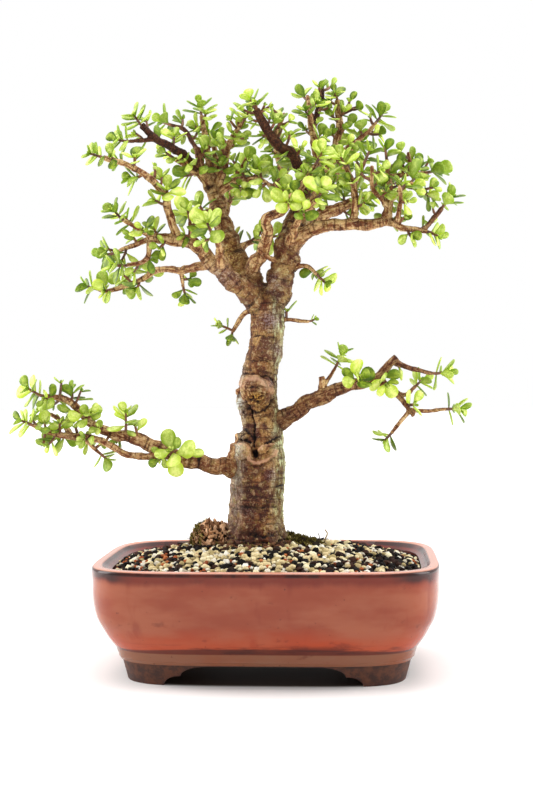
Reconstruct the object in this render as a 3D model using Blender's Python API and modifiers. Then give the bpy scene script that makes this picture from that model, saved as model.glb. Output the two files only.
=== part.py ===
"""A dwarf jade bonsai (Portulacaria afra) in a low glazed pot, at its real size.

The pot stands on its four feet at z = 0 with its long side across X. The trunk and all of its
branches grew as one piece and are one object. The leafy shoots at the twig ends, the growing mix,
the old root mound, the moss and the drainage fittings are objects of their own.

Sizes are in millimetres, and MM turns them into metres. The tree's runs are given in its own
frame: x across, y away from the front, z up.
"""

import math
import random

import bmesh
import bpy
from mathutils import Matrix, Vector, noise

MM = 0.001
SMOOTH_BELOW = math.radians(40)  # edges that bend more than this stay sharp
SNAP = 0.001  # points nearer than this are one

# The pot
POT_WIDTH = 206.0
POT_DEPTH = 160.0
POT_HEIGHT = 68.0
POT_X = 13.3  # the crown reaches further left than right, and the origin is under the middle of it all
POT_Y = 0.0
OUTER_SQUARENESS = 4.9  # exponent of the superellipse that the pot's plan follows
INNER_SQUARENESS = 4.3
PLAN_STEPS = 48
LIP_WIDTH = 10.5
LIP_DEPTH = 9.5
LIP_OVERHANG = 0.9
EDGE_ROUNDING = 1.2
PLINTH_TOP = 20.0
FOOT_HEIGHT = 12.6
UNDERSIDE = 12.2
FLOOR_TOP = 18.0
# each row: how far the wall stands in from the rim's edge, and its height
BODY_PROFILE = [(0.3, 52.0), (0.9, 45.0), (2.6, 37.4), (5.4, 31.6), (8.4, 26.0), (11.9, 20.9)]
PLINTH_PROFILE = [(13.0, PLINTH_TOP), (15.4, FOOT_HEIGHT)]
FOOT_PROFILE = [(16.4, FOOT_HEIGHT - 0.3), (19.4, 0.0)]
INNER_PROFILE = [(11.0, 60.0), (12.2, 40.0), (16.5, 26.0), (23.0, FLOOR_TOP + 1.0), (26.0, FLOOR_TOP)]
FOOT_LENGTH = 26.0  # along each side, at the ground
FOOT_THICKNESS = 11.0
CUT_OUT_LOBES = (10.0, 17.0)  # the widths of the two hollow curves at each end of a cut-out
CUT_OUT_TOPS = {"X": 11.8, "Y": 12.0}  # by the way the cut-out runs
CUTTER_REACH = 2.0  # how far a cutter passes the face that it cuts
DRAIN_DIAMETER = 17.0
DRAIN_SEGMENTS = 24
DRAIN_X = 45.0

# The drainage screens and their staples
SCREEN_SIDE = 34.0
SCREEN_CELLS = 4
SCREEN_BAR = 1.2
WIRE_RADIUS = 0.6
STAPLE_LEG_X = 4.25
STAPLE_BEND_X = 13.5

# The growing mix
GAP = 0.35  # between pieces that rest on one another
SOIL_EDGE = 61.0
SOIL_CROWN = 76.0
SOIL_RINGS = (66.0, 52.0, 38.0, 24.0, LIP_WIDTH + 2 * GAP)  # insets of the rings that shape its top
SOIL_WAVE = 0.05  # waves to a millimetre
SOIL_WAVE_HEIGHT = 0.8
STONE_SPACING = 12.0  # between the larger stones that stand out of the mix
STONE_JITTER = 1.5
STONE_RADII = (2.7, 3.5)
STONE_SUNK = 0.3  # of its radius
STONE_MARGIN = 4.5  # to the pot's inner wall
# Round places without such stones, for what stands on the mix: middle and reach
STONE_FREE = [((-8, 0), 27), ((-36, 3), 21), ((22, -3), 17), ((10, 25), 14), ((35, 0), 8)]
POCKET_MARGIN = 0.8

# The tree stands in the mix, turned a little on the pot
TREE_TURN = math.radians(3.8)
SOCKET_CLEARANCE = 0.9
VOXEL = 0.7
WOOD_SHARE = 0.0135  # of the faces that are kept once the branches are joined
SOCKET_VOXEL = 1.2
SOCKET_SHARE = 0.05
TRUNK = [
    # sideways, away, height, radius
    (-7, 0, 52, 15.5),
    (-7, 0, 64, 19.5),
    (-8, 0, 76, 20.0),
    (-8, 0, 90, 17.0),
    (-7, 0, 106, 16.5),
    (-6, 0, 122, 16.8),
    (-5, 0, 134, 14.8),
    (-4, 1, 148, 12.0),
    (-6, 1, 164, 11.6),
    (-5, 0, 179, 10.9),
    (-1, 0, 196, 10.2),
    (0, 0, 211, 10.4),
    (0, 0, 222, 10.2),
]

# Each limb: the limb that it leaves and how far along, its radii spread evenly from end to end,
# and its runs across, away and up.
LIMBS = {
    "root_right": ("trunk", 0.13, (9, 8, 4), [(12, -4, -5), (10, -2, -8)]),
    "root_front": ("trunk", 0.11, (9, 8, 4), [(-3, -13, -4), (-2, -9, -8)]),
    "root_left": ("trunk", 0.12, (9, 7, 4), [(-13, -5, -5), (-9, -3, -8)]),
    "root_back": ("trunk", 0.12, (9, 7, 4), [(5, 13, -5), (2, 8, -8)]),
    "healed_knob": ("trunk", 0.73, (6.5, 6.2, 4.6), [(-3, -7, -3), (-2, -4, -8)]),
    "left_ledge": ("trunk", 0.5, (7.5, 4.0), [(-13, -3, 1)]),
    "left_spike": ("trunk", 0.67, (6.0, 1.6), [(-12, -3, 4)]),
    "leader": (
        "trunk",
        0.97,
        (9.2, 8.0, 8.3, 7.6, 4.2),
        [(7, 0, 18), (5, -1, 19), (9, 4, 22), (6, 4, 20)],
    ),
    "low_left": (
        "trunk",
        0.41,
        (8.5, 5.2, 4.2, 4.2, 3.0, 2.4, 1.6),
        [
            (-21, -7, 1),
            (-15, -3, 3),
            (-13, -2, 3),
            (-13, -2, 7),
            (-11, 0, 4),
            (-15, -1, 4),
            (-13, -2, 6),
            (-6, -1, 8),
            (-9, -3, 7),
            (-13, -1, 2),
        ],
    ),
    "low_left_snag": ("low_left", 0.13, (3.2, 2.0), [(1, -1, 9)]),
    "low_left_under": (
        "low_left",
        0.39,
        (2.4, 1.9, 2.1, 1.0),
        [(-14, -6, -1), (-13, -3, 2), (-14, 0, 8), (-17, -1, 3), (-13, -2, 2), (-10, -4, 5)],
    ),
    "low_left_drop": ("low_left_under", 0.65, (1.6, 1.0), [(5, 3, -5), (5, 3, -5)]),
    "low_left_stub": ("low_left_under", 0.72, (1.8, 1.2), [(-6, 4, 8), (-8, 5, 5)]),
    "low_right": (
        "trunk",
        0.575,
        (7.0, 4.9, 4.2, 3.2, 2.2),
        [(13, -2, 2), (13, -4, 8), (15, -4, 7), (15, -4, 6), (10, -1, 2), (8, -1, 5), (8, -2, 9)],
    ),
    "low_right_top": ("low_right", 0.97, (1.8, 1.0), [(8, 0, -4), (16, 0, -4)]),
    "low_right_fork": ("low_right", 0.77, (2.4, 1.9, 1.2), [(9, 1, -2), (9, 2, -8), (9, 2, -12)]),
    "low_right_out": ("low_right_fork", 0.86, (1.3, 1.0), [(10, 2, -1), (13, 1, 1)]),
    "low_right_down": ("low_right_fork", 0.88, (1.3, 1.0), [(-6, 1, -7), (-5, 2, -7)]),
    "low_right_mid": ("low_right_fork", 0.5, (1.4, 1.0), [(7, 3, -1), (6, 5, 5)]),
    "low_right_stub": ("low_right", 0.45, (2.6, 1.9), [(-1, -1, 12)]),
    "low_right_shoot": ("low_right_stub", 0.35, (1.4, 1.0), [(4, 2, 7), (4, 2, 6)]),
    "left_limb": (
        "trunk",
        0.975,
        (8.0, 6.2, 5.0, 3.8, 3.0),
        [(-14, -6, 12), (-17, -6, 16), (-15, -3, 13), (-16, -3, 2), (-8, -2, 1)],
    ),
    "left_riser": (
        "left_limb",
        0.8,
        (2.6, 2.1, 1.4),
        [(-5, -5, 13), (-4, -6, 15), (-17, -9, 13), (-16, -4, 5)],
    ),
    "left_low_arm": (
        "left_limb",
        0.52,
        (3.0, 2.1, 1.6, 1.2),
        [(-17, 10, -4), (-17, 8, 1), (-12, 7, -6), (-20, 5, -6), (-8, 1, 1)],
    ),
    "left_end_up": ("left_limb", 0.97, (1.9, 1.1), [(-18, -10, 10)]),
    "left_end_out": ("left_limb", 0.98, (1.7, 1.0), [(-12, 4, -4), (-13, 8, -4)]),
    "left_hook": ("left_limb", 0.995, (1.9, 1.0), [(-3, -2, -13), (-12, 0, -4)]),
    "left_pin": ("left_limb", 0.72, (1.4, 1.0), [(0, -6, 13)]),
    "left_hanger": ("left_low_arm", 0.28, (1.2, 1.0), [(1, 3, -10)]),
    "front_left_limb": ("left_limb", 0.45, (3.0, 1.2), [(0, -21, 11), (-4, -12, 8)]),
    "back_left_limb": (
        "trunk",
        0.975,
        (8.0, 7.4, 6.2, 4.8),
        [(-13, 6, 22), (-10, 3, 20), (-6, 2, 18), (-4, 0, 16)],
    ),
    "back_left_arm": ("back_left_limb", 0.98, (4.3, 2.6, 1.4), [(-6, -3, 9), (-11, -5, 7), (-7, -3, 4)]),
    "back_left_up": ("back_left_limb", 0.97, (3.0, 2.1, 1.3), [(-3, 2, 17), (-5, 4, 33)]),
    "back_left_mid": ("back_left_limb", 0.98, (2.6, 1.4), [(1, 10, 24), (-3, 3, 11)]),
    "back_left_right": ("back_left_limb", 0.97, (3.1, 2.2, 1.1), [(6, -3, 15), (4, -4, 16), (8, -5, 11)]),
    "back_left_bough": ("back_left_limb", 0.96, (2.8, 1.6, 1.0), [(9, -5, 5), (16, -11, 3), (15, -9, -8)]),
    "back_left_spur": ("back_left_bough", 0.25, (1.5, 1.0), [(11, -7, 17)]),
    "back_left_post": ("back_left_arm", 0.3, (2.5, 1.9), [(-5, -5, 19)]),
    "dark_bough": ("back_left_arm", 0.5, (2.4, 2.4, 1.9), [(-7, -7, 9), (-16, -12, 8), (-9, -5, 8)]),
    "dark_bough_side": ("dark_bough", 0.75, (1.5, 1.0), [(-15, -9, -3)]),
    "thin_bough": ("back_left_post", 0.8, (1.6, 1.0), [(-8, 5, 15), (-9, 2, 4)]),
    "back_left_twig": ("back_left_limb", 0.85, (2.0, 1.0), [(-15, -16, -4)]),
    "far_back_limb": ("back_left_limb", 0.6, (4.4, 2.6, 1.4), [(-3, 24, 22), (12, 21, 29)]),
    "back_low_limb": ("back_left_limb", 0.5, (3.8, 1.8, 1.1), [(8, 15, 8), (15, 9, 5)]),
    "elbow": (
        "back_left_limb",
        0.3,
        (5.3, 3.8, 3.0, 2.6, 1.1),
        [(8, -12, 12), (6, -13, 13), (-1, -5, 7), (7, -3, 5), (13, -6, 13), (9, -4, 14)],
    ),
    "elbow_side": ("elbow", 0.65, (2.3, 1.6), [(-4, 7, 15)]),
    "right_limb": (
        "leader",
        0.46,
        (6.4, 4.2, 3.6, 3.4, 2.2, 1.3),
        [(9, -8, 9), (14, -6, 6), (19, -4, 0), (20, -2, 1), (7, -2, -3), (15, -1, -3)],
    ),
    "right_post": ("right_limb", 0.52, (2.4, 2.0, 1.2), [(0, -5, 21), (-5, -5, 12)]),
    "right_post_side": ("right_post", 0.62, (1.4, 1.0), [(7, 7, 16)]),
    "right_riser": ("right_limb", 0.73, (3.1, 2.0, 1.2), [(2, 3, 17), (-1, 6, 22)]),
    "right_riser_side": ("right_riser", 0.22, (1.7, 1.0), [(-10, -10, 11), (-1, -6, 12)]),
    "right_thin_riser": ("right_limb", 0.8, (1.8, 1.0), [(1, -9, 12), (-1, -6, 9)]),
    "right_tip_up": ("right_limb", 0.96, (1.4, 1.5, 1.4), [(5, 2, 4), (8, 4, 10)]),
    "right_cross": ("right_riser", 0.32, (1.4, 1.1), [(11, -8, 9), (10, 7, -4)]),
    "right_top_arm": ("right_riser", 0.7, (1.6, 1.0), [(11, 7, 3), (14, 7, 2)]),
    "right_top_up": ("right_top_arm", 0.6, (1.3, 1.0), [(-2, -2, 13)]),
    "right_back_limb": (
        "leader",
        0.64,
        (5.8, 3.2, 1.6),
        [(12, 9, 8), (18, 9, 8), (17, 11, 9), (14, 9, 6)],
    ),
    "top_bough": (
        "leader",
        0.9,
        (4.4, 3.6, 3.7, 2.7),
        [(-2, -5, 13), (-7, -5, 12), (-10, -2, 8), (-12, -2, 19)],
    ),
    "top_bough_side": ("top_bough", 0.68, (1.7, 1.0), [(7, 8, 17)]),
    "top_right_bough": ("leader", 0.88, (4.3, 3.0, 1.8), [(9, 7, 18), (9, 1, 9), (12, -2, 8)]),
    "top_post": ("top_right_bough", 0.45, (2.5, 2.0, 1.0), [(-5, -4, 23), (-3, 0, 24)]),
    "top_right_post": ("top_right_bough", 0.72, (2.4, 2.4, 1.8), [(3, 5, 22), (-1, 2, 15)]),
    "top_right_point": ("top_right_post", 0.75, (1.6, 1.0), [(13, 4, 6)]),
    "top_knob": ("top_post", 0.5, (1.9, 1.8), [(6, 9, 22), (0, 2, 11)]),
    "top_far_right": ("top_right_bough", 0.88, (1.9, 1.0), [(13, 6, 11), (7, 3, 8)]),
    "fork_twig": ("leader", 0.38, (2.1, 1.0), [(-12, -12, 4)]),
    "front_spur": ("leader", 0.8, (3.1, 1.5, 1.0), [(11, -26, 11), (3, -6, 4)]),
    "front_mid_limb": ("leader", 0.5, (3.6, 2.0, 1.2), [(6, -31, 14), (10, -12, 10)]),
    "back_limb": ("leader", 0.72, (5.6, 3.2, 1.4), [(-2, 22, 15), (-7, 20, 20), (-6, 12, 21)]),
    "back_right_limb": ("leader", 0.82, (4.4, 2.5, 1.4), [(17, 27, 18), (19, 21, 27)]),
    "leader_twig": ("leader", 0.3, (2.5, 1.4, 1.0), [(9, -3, 4), (8, -2, 0), (5, -1, -5)]),
    "trunk_left_twig": ("trunk", 0.975, (1.9, 1.0), [(-17, 5, 1), (-3, 4, -11)]),
    "trunk_right_twig": ("trunk", 0.95, (1.4, 1.0), [(26, 0, -2)]),
}
ROOTS = ["root_right", "root_front", "root_left", "root_back"]

# Each leafy shoot: the limb that carries it and how far along, where it heads (across, away, up),
# its length, the length of its leaves and its pairs of leaves.
SHOOTS = {
    "low_left_tip": ("low_left", 1.0, (-6, -4, 5), 13, 10, 3),
    "low_left_bend": ("low_left", 0.78, (3, -9, 6), 9, 9, 2),
    "low_left_rise": ("low_left", 0.6, (0, -4, 10), 18, 10, 4),
    "low_left_near": ("low_left", 0.37, (-4, -11, 5), 15, 15, 3),
    "low_left_end": ("low_left_under", 1.0, (-9, -5, 4), 10, 9, 3),
    "low_left_drop": ("low_left_drop", 1.0, (3, 2, -3), 8, 8, 2),
    "low_left_stub": ("low_left_stub", 1.0, (-8, 3, 2), 11, 9, 3),
    "low_right_top": ("low_right_top", 1.0, (8, 1, 2), 11, 9, 3),
    "low_right_near": ("low_right", 0.68, (4, -9, 4), 10, 10, 3),
    "low_right_out": ("low_right_out", 1.0, (8, 1, 0), 11, 9, 3),
    "low_right_down": ("low_right_down", 1.0, (-3, 2, -3), 8, 8, 2),
    "low_right_mid": ("low_right_mid", 1.0, (5, 6, 4), 10, 9, 3),
    "low_right_shoot": ("low_right_shoot", 1.0, (3, 1, 7), 14, 9, 4),
    "left_riser": ("left_riser", 1.0, (-8, -3, 2), 11, 8, 3),
    "left_low_arm": ("left_low_arm", 1.0, (-7, 1, 2), 10, 9, 3),
    "left_end_up": ("left_end_up", 1.0, (-5, -4, 7), 11, 9, 3),
    "left_end_out": ("left_end_out", 1.0, (-7, 5, 0), 11, 9, 3),
    "left_hook": ("left_hook", 1.0, (-7, -3, 1), 10, 9, 3),
    "left_pin": ("left_pin", 1.0, (-2, -4, 7), 9, 8, 2),
    "left_hanger": ("left_hanger", 1.0, (2, 1, -6), 8, 8, 2),
    "front_left": ("front_left_limb", 1.0, (-2, -6, 5), 11, 10, 3),
    "back_left_arm": ("back_left_arm", 1.0, (-6, -4, 4), 9, 8, 2),
    "back_left_up": ("back_left_up", 1.0, (-1, 1, 8), 10, 9, 3),
    "back_left_mid": ("back_left_mid", 1.0, (-2, 5, 6), 10, 9, 3),
    "back_left_right": ("back_left_right", 1.0, (4, -2, 7), 10, 9, 3),
    "back_left_bough": ("back_left_bough", 1.0, (5, -5, -1), 10, 9, 3),
    "dark_bough": ("dark_bough", 1.0, (-4, -3, 6), 9, 9, 3),
    "dark_bough_side": ("dark_bough_side", 1.0, (-8, -4, 1), 10, 9, 3),
    "thin_bough": ("thin_bough", 1.0, (-7, 4, 3), 9, 9, 2),
    "back_left_twig": ("back_left_twig", 1.0, (-6, -6, 1), 10, 9, 3),
    "far_back": ("far_back_limb", 1.0, (3, 5, 7), 11, 10, 3),
    "back_low": ("back_low_limb", 1.0, (6, 5, 1), 10, 9, 3),
    "elbow": ("elbow", 1.0, (3, -5, 6), 10, 9, 3),
    "right_post": ("right_post", 1.0, (-4, -5, 6), 10, 9, 3),
    "right_post_side": ("right_post_side", 1.0, (3, 3, 7), 11, 10, 3),
    "right_riser": ("right_riser", 1.0, (-1, 2, 8), 10, 9, 3),
    "right_cross": ("right_cross", 1.0, (5, 5, -2), 10, 9, 3),
    "right_tip_up": ("right_tip_up", 1.0, (5, 1, 6), 12, 10, 3),
    "right_tip": ("right_limb", 1.0, (6, -3, -4), 9, 9, 2),
    "right_top_arm": ("right_top_arm", 1.0, (7, 3, 2), 11, 10, 3),
    "right_back": ("right_back_limb", 1.0, (6, 5, 5), 11, 10, 3),
    "top_bough": ("top_bough", 1.0, (-4, -3, 6), 9, 9, 3),
    "top_right_post": ("top_right_post", 1.0, (-3, -4, 3), 7, 8, 2),
    "top_far_right": ("top_far_right", 1.0, (4, 2, 6), 10, 9, 3),
    "front_mid": ("front_mid_limb", 1.0, (3, -5, 5), 11, 10, 3),
    "back_limb": ("back_limb", 1.0, (-2, 5, 7), 10, 9, 3),
    "back_right": ("back_right_limb", 1.0, (5, 5, 6), 10, 9, 3),
    "leader_twig": ("leader_twig", 1.0, (4, -1, -4), 9, 9, 2),
}
STEM_HALF = 0.75  # half of a young stem's thickness
LEAF_WIDTH = 0.74  # of its length
LEAF_THICKNESS = 1.9
LEAF_BLADE = [(0.58, 1.0, 1.0), (1.0, 0.5, 0.7)]  # share of the length, of the width and of the thickness
LEAF_SPREAD = math.radians(52)  # between a leaf and its stem
LEAF_CLEARANCE = 0.6
LEAF_BALLS = (0.45, 0.85)  # where along a leaf the two balls that stand for it are
LEAF_BALL = 0.27  # their radius, as a share of the leaf's length
LEAF_SHRINKS = (1.0, 0.8, 0.62)
LEAF_VARIES = (0.88, 1.06)
YOUNG_LEAF = 0.72  # of the others' length and spread, on the last pair
STEM_TAPER = 0.94
STEM_BEND = 0.45

# The root mound, the moss and the sprout, in the tree's frame
MOUND_MIDDLE = (-35.0, 5.0, 66.0)
MOUND_REACH = (13.5, 14.0, 24.0)
MOUND_SQUARENESS = 3.0
MOUND_ROUGHNESS = 1.6
MOUND_WAVE = 2.3
MOSS = {
    "moss_right": ((22.0, -3.0), (11.5, 9.0), 6.5),
    "moss_back": ((10.0, 25.0), (9.0, 5.0), 4.0),
}
SPROUT = [(35, -2, 74.4), (34.5, -2, 77), (36, -2, 81), (34.5, -2, 83.5)]
SPROUT_RADIUS = 0.5

COLOURS = {
    "glaze": ((0.22, 0.045, 0.028), 0.22),
    "mix": ((0.12, 0.1, 0.075), 0.95),
    "bark": ((0.27, 0.18, 0.12), 0.85),
    "leaf": ((0.22, 0.42, 0.07), 0.4),
    "moss": ((0.06, 0.09, 0.02), 0.95),
    "root_mound": ((0.12, 0.07, 0.045), 0.95),
    "screen_plastic": ((0.03, 0.03, 0.03), 0.6),
    "wire": ((0.8, 0.8, 0.78), 0.4),
    "dry_sprout": ((0.45, 0.33, 0.16), 0.9),
}


def clear_scene():
    for obj in list(bpy.data.objects):
        bpy.data.objects.remove(obj, do_unlink=True)


def make_collection(name, hidden=False):
    collection = bpy.data.collections.new(name)
    bpy.context.scene.collection.children.link(collection)
    collection.hide_render = hidden
    return collection


def make_material(name, metallic=0.0):
    colour, roughness = COLOURS[name]
    material = bpy.data.materials.new(name)
    material.use_nodes = True
    shader = material.node_tree.nodes["Principled BSDF"]
    shader.inputs["Base Color"].default_value = (*colour, 1.0)
    shader.inputs["Roughness"].default_value = roughness
    shader.inputs["Metallic"].default_value = metallic
    return material


def object_from(bm, name, collection, parent=None, material=None):
    """Turns a bmesh in millimetres into an object in metres, with its faces pointing out."""
    bmesh.ops.scale(bm, vec=(MM, MM, MM), verts=bm.verts)
    bmesh.ops.recalc_face_normals(bm, faces=bm.faces)
    mesh = bpy.data.meshes.new(name)
    bm.to_mesh(mesh)
    bm.free()
    mesh.shade_smooth()
    mesh.set_sharp_from_angle(angle=SMOOTH_BELOW)
    if material:
        mesh.materials.append(material)
    obj = bpy.data.objects.new(name, mesh)
    collection.objects.link(obj)
    obj.parent = parent
    return obj


def as_cutter(obj):
    obj.hide_render = True
    obj.display_type = "WIRE"
    return obj


def cut(obj, cutter, operation="DIFFERENCE"):
    modifier = obj.modifiers.new(cutter.name, "BOOLEAN")
    modifier.operation = operation
    modifier.solver = "EXACT"
    modifier.object = cutter


# Shapes with the pot's plan


def squared(value, squareness):
    return math.copysign(abs(value) ** (2.0 / squareness), value)


def turned_to_plan(profile):
    """Turns a profile of (inset, height, squareness) rows about Z, each ring squared to the pot's plan."""
    bm = bmesh.new()
    layer = bm.verts.layers.float.new("squareness")
    rows = [(POT_WIDTH / 2 - inset, height, squareness) for inset, height, squareness in profile]
    rows = [(0.0, *rows[0][1:])] + rows + [(0.0, *rows[-1][1:])]
    points = []
    for radius, height, squareness in rows:
        point = bm.verts.new((radius, 0, height))
        point[layer] = squareness
        points.append(point)
    edges = [bm.edges.new(pair) for pair in zip(points, points[1:])]
    bmesh.ops.spin(
        bm,
        geom=points + edges,
        axis=(0, 0, 1),
        cent=(0, 0, 0),
        angle=math.tau,
        steps=PLAN_STEPS,
        use_merge=True,
    )
    bmesh.ops.remove_doubles(bm, verts=bm.verts, dist=SNAP)
    narrower = (POT_WIDTH - POT_DEPTH) / 2
    for vert in bm.verts:
        across = math.hypot(vert.co.x, vert.co.y)
        if across < narrower:
            continue
        angle = math.atan2(vert.co.y, vert.co.x)
        vert.co.x = across * squared(math.cos(angle), vert[layer])
        vert.co.y = (across - narrower) * squared(math.sin(angle), vert[layer])
    return bm


def with_squareness(rows, squareness):
    return [(inset, height, squareness) for inset, height in rows]


def quarter_circle(steps=4):
    """Points of a quarter of a circle of radius 1, from the X axis up to the Z axis."""
    turns = [math.pi / 2 * step / steps for step in range(steps + 1)]
    return [(math.cos(turn), math.sin(turn)) for turn in turns]


def cut_out_outline(half_width, top):
    """Half of a cloud-foot cut-out: two hollow curves that meet in a cusp, then the flat top."""
    outline = [(half_width, -CUTTER_REACH)]
    edge, height = half_width, 0.0
    for lobe in CUT_OUT_LOBES:
        edge -= lobe
        outline += [(edge + lobe * x, height + top / 2 * z) for x, z in quarter_circle()]
        height += top / 2
    return outline


def make_cut_out(name, half_width, reach, along, cutters, pot):
    """A tunnel between the feet, along X or Y."""
    right = cut_out_outline(half_width, CUT_OUT_TOPS[along])
    outline = right + [(-x, z) for x, z in reversed(right)]
    bm = bmesh.new()
    face = bm.faces.new([bm.verts.new((x, -reach, z)) for x, z in outline])
    made = bmesh.ops.extrude_face_region(bm, geom=[face])
    moved = [item for item in made["geom"] if isinstance(item, bmesh.types.BMVert)]
    bmesh.ops.translate(bm, vec=(0, 2 * reach, 0), verts=moved)
    if along == "X":
        bmesh.ops.rotate(bm, matrix=Matrix.Rotation(math.pi / 2, 3, "Z"), verts=bm.verts)
    bmesh.ops.remove_doubles(bm, verts=bm.verts, dist=SNAP)
    return as_cutter(object_from(bm, name, cutters, pot.parent))


def make_pot(parts, cutters, stand):
    lip = [
        (LIP_WIDTH, POT_HEIGHT - EDGE_ROUNDING),
        (LIP_WIDTH - EDGE_ROUNDING, POT_HEIGHT),
        (EDGE_ROUNDING, POT_HEIGHT),
        (0.0, POT_HEIGHT - EDGE_ROUNDING),
        (0.0, POT_HEIGHT - LIP_DEPTH),
        (LIP_OVERHANG, POT_HEIGHT - LIP_DEPTH - LIP_OVERHANG),
    ]
    inside = with_squareness(list(reversed(INNER_PROFILE)) + lip[:2], INNER_SQUARENESS)
    outside = with_squareness(lip[2:] + BODY_PROFILE + PLINTH_PROFILE + FOOT_PROFILE, OUTER_SQUARENESS)
    pot = object_from(turned_to_plan(inside + outside), "pot", parts, stand, make_material("glaze"))
    foot_inset = FOOT_PROFILE[-1][0]
    half_x = POT_WIDTH / 2 - foot_inset - FOOT_LENGTH
    half_y = POT_DEPTH / 2 - foot_inset - FOOT_LENGTH
    cut(pot, make_cut_out("front_cut_out", half_x, POT_DEPTH, "Y", cutters, pot))
    cut(pot, make_cut_out("side_cut_out", half_y, POT_WIDTH, "X", cutters, pot))
    hollow = [(foot_inset + FOOT_THICKNESS, height) for height in (UNDERSIDE, -CUTTER_REACH)]
    hollow = turned_to_plan(with_squareness(hollow, INNER_SQUARENESS))
    cut(pot, as_cutter(object_from(hollow, "foot_hollow", cutters, stand)))
    for side, x in (("left", -DRAIN_X), ("right", DRAIN_X)):
        bm = bmesh.new()
        bmesh.ops.create_cone(
            bm,
            cap_ends=True,
            segments=DRAIN_SEGMENTS,
            radius1=DRAIN_DIAMETER / 2,
            radius2=DRAIN_DIAMETER / 2,
            depth=FLOOR_TOP,
            matrix=Matrix.Translation((x, 0, FLOOR_TOP)),
        )
        cut(pot, as_cutter(object_from(bm, "drain_hole_" + side, cutters, stand)))
    return pot


def make_tube(name, points, radii, collection, parent, resolution=2, material=None):
    """A round tube along points in millimetres, with closed ends."""
    curve = bpy.data.curves.new(name, "CURVE")
    curve.dimensions = "3D"
    curve.bevel_depth = MM
    curve.bevel_resolution = resolution
    curve.use_fill_caps = True
    spline = curve.splines.new("POLY")
    spline.points.add(len(points) - 1)
    for target, point, radius in zip(spline.points, points, radii):
        target.co = (*(Vector(point) * MM), 1.0)
        target.radius = radius
    if material:
        curve.materials.append(material)
    obj = bpy.data.objects.new(name, curve)
    collection.objects.link(obj)
    obj.parent = parent
    return obj


def make_drainage(parts, stand):
    """A plastic screen over each drain hole, held by a wire staple that is bent out under the pot."""
    plastic = make_material("screen_plastic")
    wire = make_material("wire", metallic=1.0)
    screen_middle = FLOOR_TOP + GAP + SCREEN_BAR / 2
    cell = SCREEN_SIDE / SCREEN_CELLS
    top = screen_middle + SCREEN_BAR / 2 + GAP + WIRE_RADIUS
    low = UNDERSIDE - GAP - WIRE_RADIUS
    for side, x in (("left", -DRAIN_X), ("right", DRAIN_X)):
        bm = bmesh.new()
        bmesh.ops.create_grid(bm, x_segments=SCREEN_CELLS, y_segments=SCREEN_CELLS, size=SCREEN_SIDE / 2)
        bmesh.ops.translate(bm, vec=(x, 0, screen_middle), verts=bm.verts)
        screen = object_from(bm, "drain_screen_" + side, parts, stand, plastic)
        bars = screen.modifiers.new("bars", "WIREFRAME")
        bars.thickness = SCREEN_BAR * MM
        bars.use_even_offset = False
        bars.use_boundary = True
        y = cell / 2
        route = [
            (x - STAPLE_BEND_X, y, low),
            (x - STAPLE_LEG_X, y, low),
            (x - STAPLE_LEG_X, y, top),
            (x + STAPLE_LEG_X, y, top),
            (x + STAPLE_LEG_X, y, low),
            (x + STAPLE_BEND_X, y, low),
        ]
        make_tube("screen_staple_" + side, route, [WIRE_RADIUS] * len(route), parts, stand, 1, wire)


# The tree's skeleton


def smooth_points(points, spacing):
    """Points along a Catmull-Rom curve through these, about a spacing apart."""
    padded = [points[0] * 2 - points[1]] + points + [points[-1] * 2 - points[-2]]
    found = [points[0]]
    for before, start, end, after in zip(padded, padded[1:], padded[2:], padded[3:]):
        steps = max(1, round((end - start).length / spacing))
        for step in range(1, steps + 1):
            t = step / steps
            found.append(
                0.5
                * (
                    2 * start
                    + (end - before) * t
                    + (2 * before - 5 * start + 4 * end - after) * t * t
                    + (3 * start - before - 3 * end + after) * t * t * t
                )
            )
    return found


def spread(values, share):
    """The value at a share of the way along evenly spread values."""
    place = max(0.0, min(1.0, share)) * (len(values) - 1)
    first = min(int(place), len(values) - 2)
    return values[first] + (values[first + 1] - values[first]) * (place - first)


class Limb:
    """A limb's smooth route with its radius all along."""

    def __init__(self, corners, radii, spacing):
        self.points = smooth_points(corners, spacing)
        self.far = [0.0]
        for start, end in zip(self.points, self.points[1:]):
            self.far.append(self.far[-1] + (end - start).length)
        self.radii = [spread(radii, far / self.far[-1]) for far in self.far]

    def at(self, share):
        """The point, direction and radius at a share of the limb's length."""
        wanted = share * self.far[-1]
        index = max(i for i in range(len(self.far) - 1) if self.far[i] <= wanted + 1e-6)
        start, end = self.points[index], self.points[index + 1]
        part = (wanted - self.far[index]) / (self.far[index + 1] - self.far[index])
        radius = self.radii[index] + (self.radii[index + 1] - self.radii[index]) * part
        return start.lerp(end, part), (end - start).normalized(), radius


def grow_limbs(spacing=5.0):
    """Every limb by name, the trunk first, in the tree's frame."""
    rows = [Vector(row[:3]) for row in TRUNK]
    limbs = {"trunk": Limb(rows, [row[3] for row in TRUNK], spacing)}
    trunk = limbs["trunk"]
    heights = [row[2] for row in TRUNK]
    for index, point in enumerate(trunk.points):
        after = next((i for i, height in enumerate(heights) if height >= point.z), len(heights) - 1)
        before = max(after - 1, 0)
        rise = max(heights[after] - heights[before], 1)
        share = min(max((point.z - heights[before]) / rise, 0), 1)
        trunk.radii[index] = TRUNK[before][3] + (TRUNK[after][3] - TRUNK[before][3]) * share
    for name, (parent, share, radii, runs) in LIMBS.items():
        corners = [limbs[parent].at(share)[0]]
        for run in runs:
            corners.append(corners[-1] + Vector(run))
        limbs[name] = Limb(corners, radii, spacing)
    return limbs


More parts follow.
